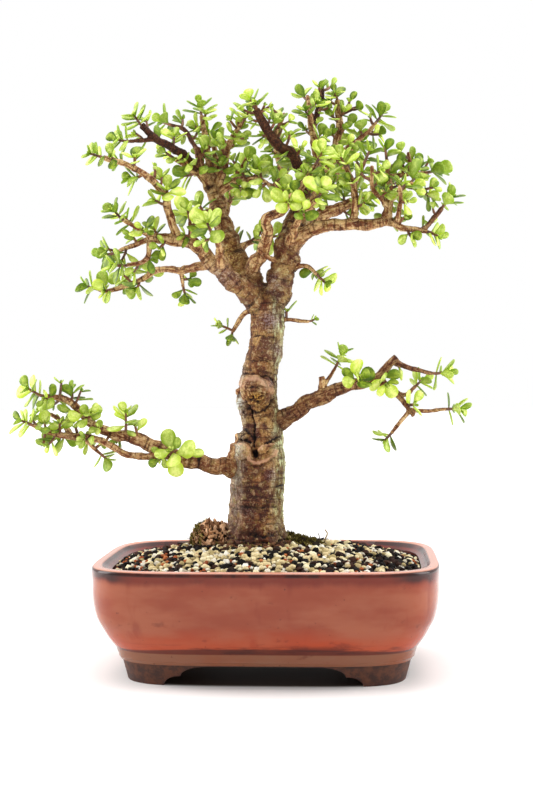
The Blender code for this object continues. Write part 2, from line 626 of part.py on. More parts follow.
def join_tubes(limbs, names, extra, name, collection, stand):
    """One object holding these limbs' tubes, each made thicker by the extra millimetres."""
    joined = bmesh.new()
    for limb_name in names:
        limb = limbs[limb_name]
        radii = [radius + extra for radius in limb.radii]
        tube = make_tube("tube", limb.points, radii, collection, None, 3)
        graph = bpy.context.evaluated_depsgraph_get()
        mesh = bpy.data.meshes.new_from_object(tube.evaluated_get(graph))
        joined.from_mesh(mesh)
        bpy.data.objects.remove(tube, do_unlink=True)
        bpy.data.meshes.remove(mesh)
    bmesh.ops.remove_doubles(joined, verts=joined.verts, dist=1e-6)
    bmesh.ops.scale(joined, vec=(1 / MM, 1 / MM, 1 / MM), verts=joined.verts)
    obj = object_from(joined, name, collection, stand)
    obj.rotation_euler.z = TREE_TURN
    return obj


def fuse(obj, voxel, share):
    """Joins overlapping tubes into one skin, and keeps a share of its faces."""
    remesh = obj.modifiers.new("one skin", "REMESH")
    remesh.mode = "VOXEL"
    remesh.voxel_size = voxel * MM
    fewer = obj.modifiers.new("fewer faces", "DECIMATE")
    fewer.ratio = share
    fewer.use_collapse_triangulate = True


def make_tree(limbs, parts, stand):
    tree = join_tubes(limbs, limbs.keys(), 0.0, "trunk_and_branches", parts, stand)
    tree.data.materials.append(make_material("bark"))
    fuse(tree, VOXEL, WOOD_SHARE)
    return tree


def make_socket(limbs, cutters, stand):
    """What the trunk's foot and roots take out of the mix around them."""
    socket = join_tubes(limbs, ["trunk"] + ROOTS, SOCKET_CLEARANCE, "socket", cutters, stand)
    socket.location.z = -GAP * MM
    fuse(socket, SOCKET_VOXEL, SOCKET_SHARE)
    return as_cutter(socket)


# The growing mix and what lies on it


def soil_height(x, y):
    """The surface of the mix over a place in the pot's own frame."""
    away = math.hypot(x / (POT_WIDTH / 2), y / (POT_DEPTH / 2))
    away = min(away, 1.0)
    rough = noise.noise(Vector((x, y, 0.0)) * SOIL_WAVE) * SOIL_WAVE_HEIGHT
    return SOIL_CROWN + (SOIL_EDGE - SOIL_CROWN) * away**2 + rough * (1.0 - away**4)


def make_stones(cutters, stand):
    """The larger stones of the gravel, loosely spaced over the mix."""
    rng = random.Random(6)
    half_x = POT_WIDTH / 2 - LIP_WIDTH - STONE_MARGIN
    half_y = POT_DEPTH / 2 - LIP_WIDTH - STONE_MARGIN
    bm = bmesh.new()
    rows = round(2 * half_y / (STONE_SPACING * 0.87))
    for row in range(rows + 1):
        y = -half_y + 2 * half_y * row / rows
        x = -half_x + STONE_SPACING / 2 * (row % 2)
        while x <= half_x:
            place = (x + rng.uniform(-1, 1) * STONE_JITTER, y + rng.uniform(-1, 1) * STONE_JITTER)
            radius = rng.uniform(*STONE_RADII)
            turn = Matrix.Rotation(rng.uniform(0, math.tau), 4, "Z") @ Matrix.Rotation(rng.uniform(0, 1), 4, "X")
            stretch = Matrix.Diagonal((radius * rng.uniform(1.0, 1.25), radius, radius * 0.85, 1.0))
            edge = abs(place[0] / half_x) ** INNER_SQUARENESS + abs(place[1] / half_y) ** INNER_SQUARENESS
            free = all(math.dist(place, middle) > reach for middle, reach in STONE_FREE)
            if edge < 1.0 and free:
                spot = Matrix.Translation((*place, soil_height(*place) - radius * STONE_SUNK))
                bmesh.ops.create_icosphere(bm, subdivisions=1, radius=1.0, matrix=spot @ turn @ stretch)
            x += STONE_SPACING
    stones = object_from(bm, "stones", cutters, stand)
    stones.data.shade_flat()
    return as_cutter(stones)


def make_screen_pocket(name, x, cutters, stand):
    """The room that the mix leaves for a screen and the wire over it."""
    high = 2 * GAP + SCREEN_BAR + 2 * WIRE_RADIUS + POCKET_MARGIN
    wide = SCREEN_SIDE + SCREEN_BAR + 2 * POCKET_MARGIN
    bm = bmesh.new()
    bmesh.ops.create_cube(bm, size=1.0)
    bmesh.ops.scale(bm, vec=(wide, wide, 2 * high), verts=bm.verts)
    bmesh.ops.translate(bm, vec=(x, 0, FLOOR_TOP), verts=bm.verts)
    return as_cutter(object_from(bm, name, cutters, stand))


def make_soil(socket, parts, cutters, stand):
    top = [(inset, SOIL_EDGE) for inset in SOIL_RINGS]
    wall = [(inset + GAP, height) for inset, height in INNER_PROFILE[:-1]]
    floor = [(INNER_PROFILE[-1][0] + GAP, FLOOR_TOP + GAP)]
    bm = turned_to_plan(with_squareness(top + wall + floor, INNER_SQUARENESS))
    for vert in bm.verts:
        if vert.co.z > SOIL_EDGE - 0.01:
            vert.co.z = soil_height(vert.co.x, vert.co.y)
    soil = object_from(bm, "growing_mix", parts, stand, make_material("mix"))
    soil.data.shade_flat()
    cut(soil, make_stones(cutters, stand), "UNION")
    cut(soil, make_screen_pocket("screen_pocket_left", -DRAIN_X, cutters, stand))
    cut(soil, make_screen_pocket("screen_pocket_right", DRAIN_X, cutters, stand))
    cut(soil, socket)
    bed = object_from(mound_shape(2 * GAP), "mound_bed", cutters, stand)
    bed.rotation_euler.z = TREE_TURN
    cut(soil, as_cutter(bed))
    return soil


def mound_shape(extra):
    """The old root mound, a squarish lump, larger all round by the extra millimetres."""
    bm = bmesh.new()
    bmesh.ops.create_uvsphere(bm, u_segments=16, v_segments=10, radius=1.0)
    for vert in bm.verts:
        length = sum(abs(value) ** MOUND_SQUARENESS for value in vert.co) ** (1 / MOUND_SQUARENESS)
        way = vert.co / length
        rough = extra + noise.noise(vert.co * MOUND_WAVE) * MOUND_ROUGHNESS
        for axis, (middle, reach) in enumerate(zip(MOUND_MIDDLE, MOUND_REACH)):
            vert.co[axis] = middle + way[axis] * (reach + rough)
    return bm


def make_mound(socket, parts, stand):
    mound = object_from(mound_shape(0.0), "root_mound", parts, stand, make_material("root_mound"))
    mound.rotation_euler.z = TREE_TURN
    cut(mound, socket)
    return mound


def make_moss(socket, parts, stand):
    """Low cushions of moss on the mix, up against the trunk."""
    material = make_material("moss")
    for name, ((x, y), (reach_x, reach_y), height) in MOSS.items():
        bm = bmesh.new()
        bmesh.ops.create_uvsphere(bm, u_segments=12, v_segments=8, radius=1.0)
        for vert in bm.verts:
            place = (x + vert.co.x * reach_x, y + vert.co.y * reach_y)
            ground = soil_height(*place) + 2 * GAP
            vert.co = (*place, ground + max(vert.co.z, 0.0) * height)
        bmesh.ops.remove_doubles(bm, verts=bm.verts, dist=0.05)
        cushion = object_from(bm, name, parts, stand, material)
        cut(cushion, socket)


def make_sprout(parts, stand):
    sprout = make_tube(
        "dry_sprout", SPROUT, [SPROUT_RADIUS] * len(SPROUT), parts, stand, 1, make_material("dry_sprout")
    )
    sprout.rotation_euler.z = TREE_TURN


# The leafy shoots


class Crowding:
    """Where leaves already are, as spheres, so that no leaf grows through another shoot."""

    def __init__(self, limbs):
        self.spheres = []
        for limb in limbs.values():
            for point, radius in zip(limb.points, limb.radii):
                self.spheres.append((point, radius, "wood"))

    def free(self, spheres, owner):
        for middle, radius in spheres:
            for other, other_radius, other_owner in self.spheres:
                if other_owner == owner:
                    continue
                if (middle - other).length < radius + other_radius + LEAF_CLEARANCE:
                    return False
        return True

    def add(self, spheres, owner):
        self.spheres += [(middle, radius, owner) for middle, radius in spheres]


def leaf_spheres(root, way, length):
    return [(root + way * length * share, length * LEAF_BALL) for share in LEAF_BALLS]


def grow_leaf(bm, face, root, way, across, length):
    """Draws a leaf out of one side of the stem, as a thick blade that is widest past its middle."""
    through = way.cross(across).normalized()
    middle = face.calc_center_median()
    corners = [vert.co - middle for vert in face.verts]
    signs = [(math.copysign(1, out.dot(across)), math.copysign(1, out.dot(through))) for out in corners]
    for share, width, thickness in LEAF_BLADE:
        face = bmesh.ops.extrude_discrete_faces(bm, faces=[face])["faces"][0]
        for vert, (sign_across, sign_through) in zip(face.verts, signs):
            vert.co = root + way * length * share
            vert.co += across * sign_across * length * LEAF_WIDTH * width / 2
            vert.co += through * sign_through * LEAF_THICKNESS * thickness / 2


def stem_ring(middle, along, side, half):
    """The four corners of a young stem, which is nearly square."""
    other = along.cross(side).normalized()
    return [middle + corner * half for corner in (side + other, other - side, -side - other, side - other)]


def extend_stem(bm, top, corners):
    """Draws the stem's end face out to new corners, and returns the new end and its four sides."""
    before = set(bm.faces)
    top = bmesh.ops.extrude_discrete_faces(bm, faces=[top])["faces"][0]
    for vert, corner in zip(top.verts, corners):
        vert.co = corner
    return top, [face for face in bm.faces if face not in before and face != top]


def shoot_start(limb, share, heading):
    """Where a shoot leaves its twig, and which way it sets out."""
    point, tangent, radius = limb.at(share)
    if share < 1.0:
        sideways = (heading - tangent * heading.dot(tangent)).normalized()
        return point + sideways * (radius + GAP), sideways
    return point + tangent * GAP, tangent


def grow_pair(bm, sides, middle, along, turn, size, tilt, crowding, owner):
    """Two opposite leaves, each as long as the room around it allows."""
    outward = [turn, -turn]
    faces = [max(sides, key=lambda side: (side.calc_center_median() - middle).dot(out)) for out in outward]
    for out, face in zip(outward, faces):
        way = out * math.sin(tilt) + along * math.cos(tilt)
        across = along.cross(out).normalized()
        root = face.calc_center_median()
        for shrink in LEAF_SHRINKS:
            spheres = leaf_spheres(root, way, size * shrink)
            if crowding.free(spheres, owner):
                grow_leaf(bm, face, root, way, across, size * shrink)
                crowding.add(spheres, owner)
                break


def make_shoot(name, limbs, crowding, parts, stand, material):
    limb_name, share, heading, length, leaf, pairs = SHOOTS[name]
    heading = Vector(heading).normalized()
    middle, along = shoot_start(limbs[limb_name], share, heading)
    rng = random.Random(name)
    side = Matrix.Rotation(rng.uniform(0, math.tau), 3, along) @ along.orthogonal().normalized()
    half = STEM_HALF
    bm = bmesh.new()
    top = bm.faces.new([bm.verts.new(corner) for corner in stem_ring(middle, along, side, half)])
    for pair in range(pairs):
        last = pair == pairs - 1
        along = along.lerp(heading, STEM_BEND).normalized()
        side = (side - along * side.dot(along)).normalized()
        half *= STEM_TAPER
        for rise in (length / pairs - 2 * half, 2 * half):
            middle = middle + along * rise
            top, sides = extend_stem(bm, top, stem_ring(middle, along, side, half))
        turn = side if pair % 2 == 0 else along.cross(side).normalized()
        size = leaf * (YOUNG_LEAF if last else rng.uniform(*LEAF_VARIES))
        tilt = LEAF_SPREAD * (YOUNG_LEAF if last else 1.0)
        grow_pair(bm, sides, middle - along * half, along, turn, size, tilt, crowding, name)
    extend_stem(bm, top, stem_ring(middle + along * 2 * half, along, side, half / 2))
    bmesh.ops.holes_fill(bm, edges=[edge for edge in bm.edges if edge.is_boundary], sides=4)
    shoot = object_from(bm, "shoot_" + name, parts, stand, material)
    shoot.rotation_euler.z = TREE_TURN


def main():
    clear_scene()
    parts = make_collection("dwarf_jade_bonsai")
    cutters = make_collection("cutters", hidden=True)
    stand = bpy.data.objects.new("stand", None)
    stand.location = (POT_X * MM, POT_Y * MM, 0)
    parts.objects.link(stand)
    limbs = grow_limbs()
    make_pot(parts, cutters, stand)
    make_drainage(parts, stand)
    make_tree(limbs, parts, stand)
    socket = make_socket(limbs, cutters, stand)
    make_mound(socket, parts, stand)
    make_soil(socket, parts, cutters, stand)
    make_moss(socket, parts, stand)
    make_sprout(parts, stand)
    crowding = Crowding(limbs)
    leaf_green = make_material("leaf")
    for name in SHOOTS:
        make_shoot(name, limbs, crowding, parts, stand, leaf_green)


if __name__ == "__main__":
    main()
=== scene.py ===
"""Looks for a dwarf jade bonsai (Portulacaria afra) in a low glazed pot.

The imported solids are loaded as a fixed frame, and detailed pieces are built around them: bark with
ring scars and healed wounds, thick little leaves, a gravelly mix, moss, the old root mound and a
glazed pot. Sizes are in millimetres, and MM turns them into metres. Routes of limbs are given in the
tree's own frame: x across, y away from the front, z up.
"""

import math
import random

import bmesh
import bpy
import numpy as np
from mathutils import Euler, Matrix, Vector, noise


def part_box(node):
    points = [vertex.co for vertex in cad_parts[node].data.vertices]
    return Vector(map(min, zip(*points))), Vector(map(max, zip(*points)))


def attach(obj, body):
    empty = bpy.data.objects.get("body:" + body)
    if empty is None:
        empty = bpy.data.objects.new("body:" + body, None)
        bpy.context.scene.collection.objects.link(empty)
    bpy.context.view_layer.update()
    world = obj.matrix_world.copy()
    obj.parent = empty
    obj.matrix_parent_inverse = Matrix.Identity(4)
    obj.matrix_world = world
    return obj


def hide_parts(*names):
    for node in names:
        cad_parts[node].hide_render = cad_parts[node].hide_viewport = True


bl_info = {
    "name": "Dwarf Jade Bonsai",
    "version": (1, 0, 0),
    "blender": (4, 5, 0),
    "location": "3D View > Sidebar > Bonsai",
    "description": "Builds a dwarf jade bonsai around its packed solids",
    "category": "Object",
}

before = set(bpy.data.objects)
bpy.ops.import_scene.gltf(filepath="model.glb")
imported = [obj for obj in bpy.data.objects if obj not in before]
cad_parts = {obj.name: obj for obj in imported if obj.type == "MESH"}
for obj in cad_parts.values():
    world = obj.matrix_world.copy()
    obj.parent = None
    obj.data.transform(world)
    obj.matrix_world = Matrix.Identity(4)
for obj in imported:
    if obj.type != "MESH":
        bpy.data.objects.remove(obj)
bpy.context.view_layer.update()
POT_LOW, POT_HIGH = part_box("pot")

MM = 0.001
CREASE = math.radians(40)

# The pot, as in the solid
POT_X = (POT_LOW.x + POT_HIGH.x) / 2 / MM
POT_WIDTH = (POT_HIGH.x - POT_LOW.x) / MM
POT_DEPTH = (POT_HIGH.y - POT_LOW.y) / MM
POT_HEIGHT = (POT_HIGH.z - POT_LOW.z) / MM
OUTER_SQUARENESS = 4.9
INNER_SQUARENESS = 4.3
PLAN_STEPS = 160
LIP_WIDTH = 10.5
LIP_ROUND = 1.9
GLAZE_END = 14.5
FOOT_HEIGHT = 12.6
UNDERSIDE = 12.2
FLOOR_TOP = 18.0
BODY_PROFILE = [(0.3, 52.0), (0.9, 45.0), (2.6, 37.4), (5.4, 31.6), (8.4, 26.0), (11.9, 20.9)]
FOOT_PROFILE = [(16.4, FOOT_HEIGHT - 0.3), (19.4, 0.0)]
INNER_PROFILE = [(11.0, 60.0), (12.2, 40.0), (16.5, 26.0), (23.0, FLOOR_TOP + 1.0), (26.0, FLOOR_TOP)]
FOOT_LENGTH = 26.0
FOOT_THICKNESS = 11.0
CUT_OUT_LOBES = (10.0, 17.0)
CUT_OUT_TOPS = {"X": 11.8, "Y": 12.0}
CUTTER_REACH = 2.0
DRAIN_DIAMETER = 17.0
DRAIN_X = 45.0
WALL_FROM = 60.0  # from the pot's axis, farther than anything on its floor
GLAZE_WAVE = 0.9  # how far the end of the glaze wanders up and down
DOUBLE_GAP = 0.001

# The growing mix
SOIL_EDGE = 61.0
SOIL_CROWN = 76.0
SOIL_WAVE = 0.05
SOIL_WAVE_HEIGHT = 0.8
STONE_SPACING = 12.0
STONE_JITTER = 1.5
STONE_RADII = (2.7, 3.5)
STONE_SUNK = 0.3
STONE_MARGIN = 4.5
STONE_FREE = [((-8, 0), 27), ((-36, 3), 21), ((22, -3), 17), ((10, 25), 14), ((35, 0), 8)]

# The tree
TREE_TURN = math.radians(3.8)
TRUNK = [
    # sideways, away, height, radius
    (-7, 0, 52, 15.5),
    (-7, 0, 64, 19.5),
    (-8, 0, 76, 20.0),
    (-8, 0, 90, 17.0),
    (-7, 0, 106, 16.5),
    (-6, 0, 122, 16.8),
    (-5, 0, 134, 14.8),
    (-4, 1, 148, 12.0),
    (-6, 1, 164, 11.6),
    (-5, 0, 179, 10.9),
    (-1, 0, 196, 10.2),
    (0, 0, 211, 10.4),
    (0, 0, 222, 10.2),
]

# Each limb: the limb that it leaves and how far along, its radii spread evenly from end to end,
# and its runs across, away and up.
LIMBS = {
    "root_right": ("trunk", 0.13, (9, 8, 4), [(12, -4, -5), (10, -2, -8)]),
    "root_front": ("trunk", 0.11, (9, 8, 4), [(-3, -13, -4), (-2, -9, -8)]),
    "root_left": ("trunk", 0.12, (9, 7, 4), [(-13, -5, -5), (-9, -3, -8)]),
    "root_back": ("trunk", 0.12, (9, 7, 4), [(5, 13, -5), (2, 8, -8)]),
    "healed_knob": ("trunk", 0.73, (6.5, 6.2, 4.6), [(-3, -7, -3), (-2, -4, -8)]),
    "left_ledge": ("trunk", 0.5, (7.5, 4.0), [(-13, -3, 1)]),
    "left_spike": ("trunk", 0.67, (6.0, 1.6), [(-12, -3, 4)]),
    "leader": ("trunk", 0.97, (9.2, 8.0, 8.3, 7.6, 4.2), [(7, 0, 18), (5, -1, 19), (9, 4, 22), (6, 4, 20)]),
    "low_left": (
        "trunk", 0.41, (8.5, 5.2, 4.2, 4.2, 3.0, 2.4, 1.6),
        [(-21, -7, 1), (-15, -3, 3), (-13, -2, 3), (-13, -2, 7), (-11, 0, 4), (-15, -1, 4), (-13, -2, 6),
         (-6, -1, 8), (-9, -3, 7), (-13, -1, 2)]
    ),
    "low_left_snag": ("low_left", 0.13, (3.2, 2.0), [(1, -1, 9)]),
    "low_left_under": (
        "low_left", 0.39, (2.4, 1.9, 2.1, 1.0),
        [(-14, -6, -1), (-13, -3, 2), (-14, 0, 8), (-17, -1, 3), (-13, -2, 2), (-10, -4, 5)]
    ),
    "low_left_drop": ("low_left_under", 0.65, (1.6, 1.0), [(5, 3, -5), (5, 3, -5)]),
    "low_left_stub": ("low_left_under", 0.72, (1.8, 1.2), [(-6, 4, 8), (-8, 5, 5)]),
    "low_right": (
        "trunk", 0.575, (7.0, 4.9, 4.2, 3.2, 2.2),
        [(13, -2, 2), (13, -4, 8), (15, -4, 7), (15, -4, 6), (10, -1, 2), (8, -1, 5), (8, -2, 9)]
    ),
    "low_right_top": ("low_right", 0.97, (1.8, 1.0), [(8, 0, -4), (16, 0, -4)]),
    "low_right_fork": ("low_right", 0.77, (2.4, 1.9, 1.2), [(9, 1, -2), (9, 2, -8), (9, 2, -12)]),
    "low_right_out": ("low_right_fork", 0.86, (1.3, 1.0), [(10, 2, -1), (13, 1, 1)]),
    "low_right_down": ("low_right_fork", 0.88, (1.3, 1.0), [(-6, 1, -7), (-5, 2, -7)]),
    "low_right_mid": ("low_right_fork", 0.5, (1.4, 1.0), [(7, 3, -1), (6, 5, 5)]),
    "low_right_stub": ("low_right", 0.45, (2.6, 1.9), [(-1, -1, 12)]),
    "low_right_shoot": ("low_right_stub", 0.35, (1.4, 1.0), [(4, 2, 7), (4, 2, 6)]),
    "left_limb": (
        "trunk", 0.975, (8.0, 6.2, 5.0, 3.8, 3.0),
        [(-14, -6, 12), (-17, -6, 16), (-15, -3, 13), (-16, -3, 2), (-8, -2, 1)]
    ),
    "left_riser": (
        "left_limb", 0.8, (2.6, 2.1, 1.4),
        [(-5, -5, 13), (-4, -6, 15), (-17, -9, 13), (-16, -4, 5)]
    ),
    "left_low_arm": (
        "left_limb", 0.52, (3.0, 2.1, 1.6, 1.2),
        [(-17, 10, -4), (-17, 8, 1), (-12, 7, -6), (-20, 5, -6), (-8, 1, 1)]
    ),
    "left_end_up": ("left_limb", 0.97, (1.9, 1.1), [(-18, -10, 10)]),
    "left_end_out": ("left_limb", 0.98, (1.7, 1.0), [(-12, 4, -4), (-13, 8, -4)]),
    "left_hook": ("left_limb", 0.995, (1.9, 1.0), [(-3, -2, -13), (-12, 0, -4)]),
    "left_pin": ("left_limb", 0.72, (1.4, 1.0), [(0, -6, 13)]),
    "left_hanger": ("left_low_arm", 0.28, (1.2, 1.0), [(1, 3, -10)]),
    "front_left_limb": ("left_limb", 0.45, (3.0, 1.2), [(0, -21, 11), (-4, -12, 8)]),
    "back_left_limb": (
        "trunk", 0.975, (8.0, 7.4, 6.2, 4.8),
        [(-13, 6, 22), (-10, 3, 20), (-6, 2, 18), (-4, 0, 16)]
    ),
    "back_left_arm": ("back_left_limb", 0.98, (4.3, 2.6, 1.4), [(-6, -3, 9), (-11, -5, 7), (-7, -3, 4)]),
    "back_left_up": ("back_left_limb", 0.97, (3.0, 2.1, 1.3), [(-3, 2, 17), (-5, 4, 33)]),
    "back_left_mid": ("back_left_limb", 0.98, (2.6, 1.4), [(1, 10, 24), (-3, 3, 11)]),
    "back_left_right": ("back_left_limb", 0.97, (3.1, 2.2, 1.1), [(6, -3, 15), (4, -4, 16), (8, -5, 11)]),
    "back_left_bough": ("back_left_limb", 0.96, (2.8, 1.6, 1.0), [(9, -5, 5), (16, -11, 3), (15, -9, -8)]),
    "back_left_spur": ("back_left_bough", 0.25, (1.5, 1.0), [(11, -7, 17)]),
    "back_left_post": ("back_left_arm", 0.3, (2.5, 1.9), [(-5, -5, 19)]),
    "dark_bough": ("back_left_arm", 0.5, (2.4, 2.4, 1.9), [(-7, -7, 9), (-16, -12, 8), (-9, -5, 8)]),
    "dark_bough_side": ("dark_bough", 0.75, (1.5, 1.0), [(-15, -9, -3)]),
    "thin_bough": ("back_left_post", 0.8, (1.6, 1.0), [(-8, 5, 15), (-9, 2, 4)]),
    "back_left_twig": ("back_left_limb", 0.85, (2.0, 1.0), [(-15, -16, -4)]),
    "far_back_limb": ("back_left_limb", 0.6, (4.4, 2.6, 1.4), [(-3, 24, 22), (12, 21, 29)]),
    "back_low_limb": ("back_left_limb", 0.5, (3.8, 1.8, 1.1), [(8, 15, 8), (15, 9, 5)]),
    "elbow": (
        "back_left_limb", 0.3, (5.3, 3.8, 3.0, 2.6, 1.1),
        [(8, -12, 12), (6, -13, 13), (-1, -5, 7), (7, -3, 5), (13, -6, 13), (9, -4, 14)]
    ),
    "elbow_side": ("elbow", 0.65, (2.3, 1.6), [(-4, 7, 15)]),
    "right_limb": (
        "leader", 0.46, (6.4, 4.2, 3.6, 3.4, 2.2, 1.3),
        [(9, -8, 9), (14, -6, 6), (19, -4, 0), (20, -2, 1), (7, -2, -3), (15, -1, -3)]
    ),
    "right_post": ("right_limb", 0.52, (2.4, 2.0, 1.2), [(0, -5, 21), (-5, -5, 12)]),
    "right_post_side": ("right_post", 0.62, (1.4, 1.0), [(7, 7, 16)]),
    "right_riser": ("right_limb", 0.73, (3.1, 2.0, 1.2), [(2, 3, 17), (-1, 6, 22)]),
    "right_riser_side": ("right_riser", 0.22, (1.7, 1.0), [(-10, -10, 11), (-1, -6, 12)]),
    "right_thin_riser": ("right_limb", 0.8, (1.8, 1.0), [(1, -9, 12), (-1, -6, 9)]),
    "right_tip_up": ("right_limb", 0.96, (1.4, 1.5, 1.4), [(5, 2, 4), (8, 4, 10)]),
    "right_cross": ("right_riser", 0.32, (1.4, 1.1), [(11, -8, 9), (10, 7, -4)]),
    "right_top_arm": ("right_riser", 0.7, (1.6, 1.0), [(11, 7, 3), (14, 7, 2)]),
    "right_top_up": ("right_top_arm", 0.6, (1.3, 1.0), [(-2, -2, 13)]),
    "right_back_limb": ("leader", 0.64, (5.8, 3.2, 1.6), [(12, 9, 8), (18, 9, 8), (17, 11, 9), (14, 9, 6)]),
    "top_bough": (
        "leader", 0.9, (4.2, 3.3, 3.1, 2.4),
        [(-2, -5, 13), (-7, -5, 12), (-10, -2, 8), (-12, -2, 19)]
    ),
    "top_bough_side": ("top_bough", 0.68, (1.7, 1.0), [(7, 8, 17)]),
    "top_right_bough": ("leader", 0.88, (4.3, 3.0, 1.8), [(9, 7, 18), (9, 1, 9), (12, -2, 8)]),
    "top_post": ("top_right_bough", 0.45, (2.5, 2.0, 1.0), [(-5, -4, 23), (-3, 0, 24)]),
    "top_right_post": ("top_right_bough", 0.72, (2.4, 2.4, 1.8), [(3, 5, 22), (-1, 2, 15)]),
    "top_right_point": ("top_right_post", 0.75, (1.6, 1.0), [(13, 4, 6)]),
    "top_knob": ("top_post", 0.5, (1.9, 1.8), [(6, 9, 22), (0, 2, 11)]),
    "top_far_right": ("top_right_bough", 0.88, (1.9, 1.0), [(13, 6, 11), (7, 3, 8)]),
    "fork_twig": ("leader", 0.38, (2.1, 1.0), [(-12, -12, 4)]),
    "front_spur": ("leader", 0.8, (3.1, 1.5, 1.0), [(11, -26, 11), (3, -6, 4)]),
    "front_mid_limb": ("leader", 0.5, (3.6, 2.0, 1.2), [(6, -31, 14), (10, -12, 10)]),
    "back_limb": ("leader", 0.72, (5.6, 3.2, 1.4), [(-2, 22, 15), (-7, 20, 20), (-6, 12, 21)]),
    "back_right_limb": ("leader", 0.82, (4.4, 2.5, 1.4), [(17, 27, 18), (19, 21, 27)]),
    "leader_twig": ("leader", 0.3, (2.5, 1.4, 1.0), [(9, -3, 4), (8, -2, 0), (5, -1, -5)]),
    "trunk_left_twig": ("trunk", 0.975, (2.0, 1.2), [(-13, 4, 0), (-9, 5, -12)]),
    "trunk_right_twig": ("trunk", 0.95, (1.4, 1.0), [(26, 0, -2)]),
}

# Each leafy shoot: where it heads (across, away, up), its length, the length of its leaves and its
# pairs of leaves. It stands on the tip of the limb of its own name, unless a limb and a share follow.
SHOOTS = {
    "low_left_tip": ((-6, -4, 5), 13, 10, 3, "low_left"),
    "low_left_bend": ((3, -9, 6), 9, 9, 2, "low_left", 0.78),
    "low_left_rise": ((0, -4, 10), 18, 10, 4, "low_left", 0.6),
    "low_left_near": ((-4, -11, 5), 15, 15, 3, "low_left", 0.37),
    "low_left_end": ((-9, -5, 4), 10, 9, 3, "low_left_under"), "low_left_drop": ((3, 2, -3), 8, 8, 2),
    "low_left_stub": ((-8, 3, 2), 11, 9, 3), "low_right_top": ((8, 1, 2), 11, 9, 3),
    "low_right_near": ((4, -9, 4), 10, 10, 3, "low_right", 0.68), "low_right_out": ((8, 1, 0), 11, 9, 3),
    "low_right_down": ((-3, 2, -3), 8, 8, 2), "low_right_mid": ((5, 6, 4), 10, 9, 3),
    "low_right_shoot": ((3, 1, 7), 14, 9, 4), "left_riser": ((-8, -3, 2), 11, 8, 3),
    "left_low_arm": ((-7, 1, 2), 10, 9, 3), "left_end_up": ((-5, -4, 7), 11, 9, 3),
    "left_end_out": ((-7, 5, 0), 11, 9, 3), "left_hook": ((-7, -3, 1), 10, 9, 3),
    "left_pin": ((-2, -4, 7), 9, 8, 2), "left_hanger": ((2, 1, -6), 8, 8, 2),
    "front_left": ((-2, -6, 5), 11, 10, 3, "front_left_limb"), "back_left_arm": ((-6, -4, 4), 9, 8, 2),
    "back_left_up": ((-1, 1, 8), 10, 9, 3), "back_left_mid": ((-2, 5, 6), 10, 9, 3),
    "back_left_right": ((4, -2, 7), 10, 9, 3), "back_left_bough": ((5, -5, -1), 10, 9, 3),
    "dark_bough": ((-4, -3, 6), 9, 9, 3), "dark_bough_side": ((-8, -4, 1), 10, 9, 3),
    "thin_bough": ((-7, 4, 3), 9, 9, 2), "back_left_twig": ((-6, -6, 1), 10, 9, 3),
    "far_back": ((3, 5, 7), 11, 10, 3, "far_back_limb"), "back_low": ((6, 5, 1), 10, 9, 3, "back_low_limb"),
    "elbow": ((3, -5, 6), 10, 9, 3), "right_post": ((-4, -5, 6), 10, 9, 3),
    "right_post_side": ((3, 3, 7), 11, 10, 3), "right_riser": ((-1, 2, 8), 10, 9, 3),
    "right_cross": ((5, 5, -2), 10, 9, 3), "right_tip_up": ((5, 1, 6), 12, 10, 3),
    "right_tip": ((6, -3, -4), 9, 9, 2, "right_limb"), "right_top_arm": ((7, 3, 2), 11, 10, 3),
    "right_back": ((6, 5, 5), 11, 10, 3, "right_back_limb"), "top_bough": ((-4, -3, 6), 9, 9, 3),
    "top_right_post": ((-3, -4, 3), 7, 8, 2), "top_far_right": ((4, 2, 6), 10, 9, 3),
    "front_mid": ((3, -5, 5), 11, 10, 3, "front_mid_limb"), "back_limb": ((-2, 5, 7), 10, 9, 3),
    "back_right": ((5, 5, 6), 10, 9, 3, "back_right_limb"), "leader_twig": ((4, -1, -4), 9, 9, 2),
}
ROOTS = ["root_right", "root_front", "root_left", "root_back"]

# The bark, in millimetres unless a line says otherwise
TUBE_SPACING = 1.8
TUBE_SIDES = 4  # the curve's bevel resolution
SOAK = 0.08  # added all round before the skin is smoothed, which takes about as much away
KNOT_SPACING = (5.5, 9.0)  # between leaf scars on a thin limb
KNOT_SWELL = 0.16
KNOT_REACH = 1.3
WANDER = 0.22  # sideways, as a share of the radius
WANDER_WAVE = 0.13
SKIN_PASSES = 2
GRAIN_HEIGHT = 0.45
LUMP_HEIGHT = 0.45
SCAR_DEPTH = 0.5
RIDGE_HEIGHT = 0.3
FOOT_CRUST = 1.5
FOOT_TOP = 92.0  # the crust fades out over FOOT_FADE below this height
FOOT_FADE = 14.0
WRINKLE_WAVES = (0.5, 0.5, 0.13)  # across, away and along the limb
SCALE_WAVES = (0.95, 0.95, 0.6)
RING_WAVES = (0.07, 0.07, 0.62)
BARK_SEED = 11
OWNER_SHIFT = 7.3  # from one limb's noise to the next one's
LARGEST_TWIG = 7.5  # thinner limbs than this show their leaf scars more

# Ring scars on the trunk: height at its middle, rise to the right, depth
TRUNK_SCARS = [
    (219.0, -0.02, 0.8),
    (202.0, 0.0, 1.0),
    (194.5, 0.03, 0.5),
    (187.0, -0.08, 0.7),
    (180.0, -0.2, 0.9),
    (151.0, 0.06, 0.3),
    (118.0, 0.02, 0.35),
    (110.5, 0.03, 1.0),
    (104.5, -0.02, 0.6),
    (98.0, 0.02, 0.45),
    (91.0, 0.0, 0.5),
    (84.0, 0.0, 0.6),
    (78.5, -0.03, 0.7),
]
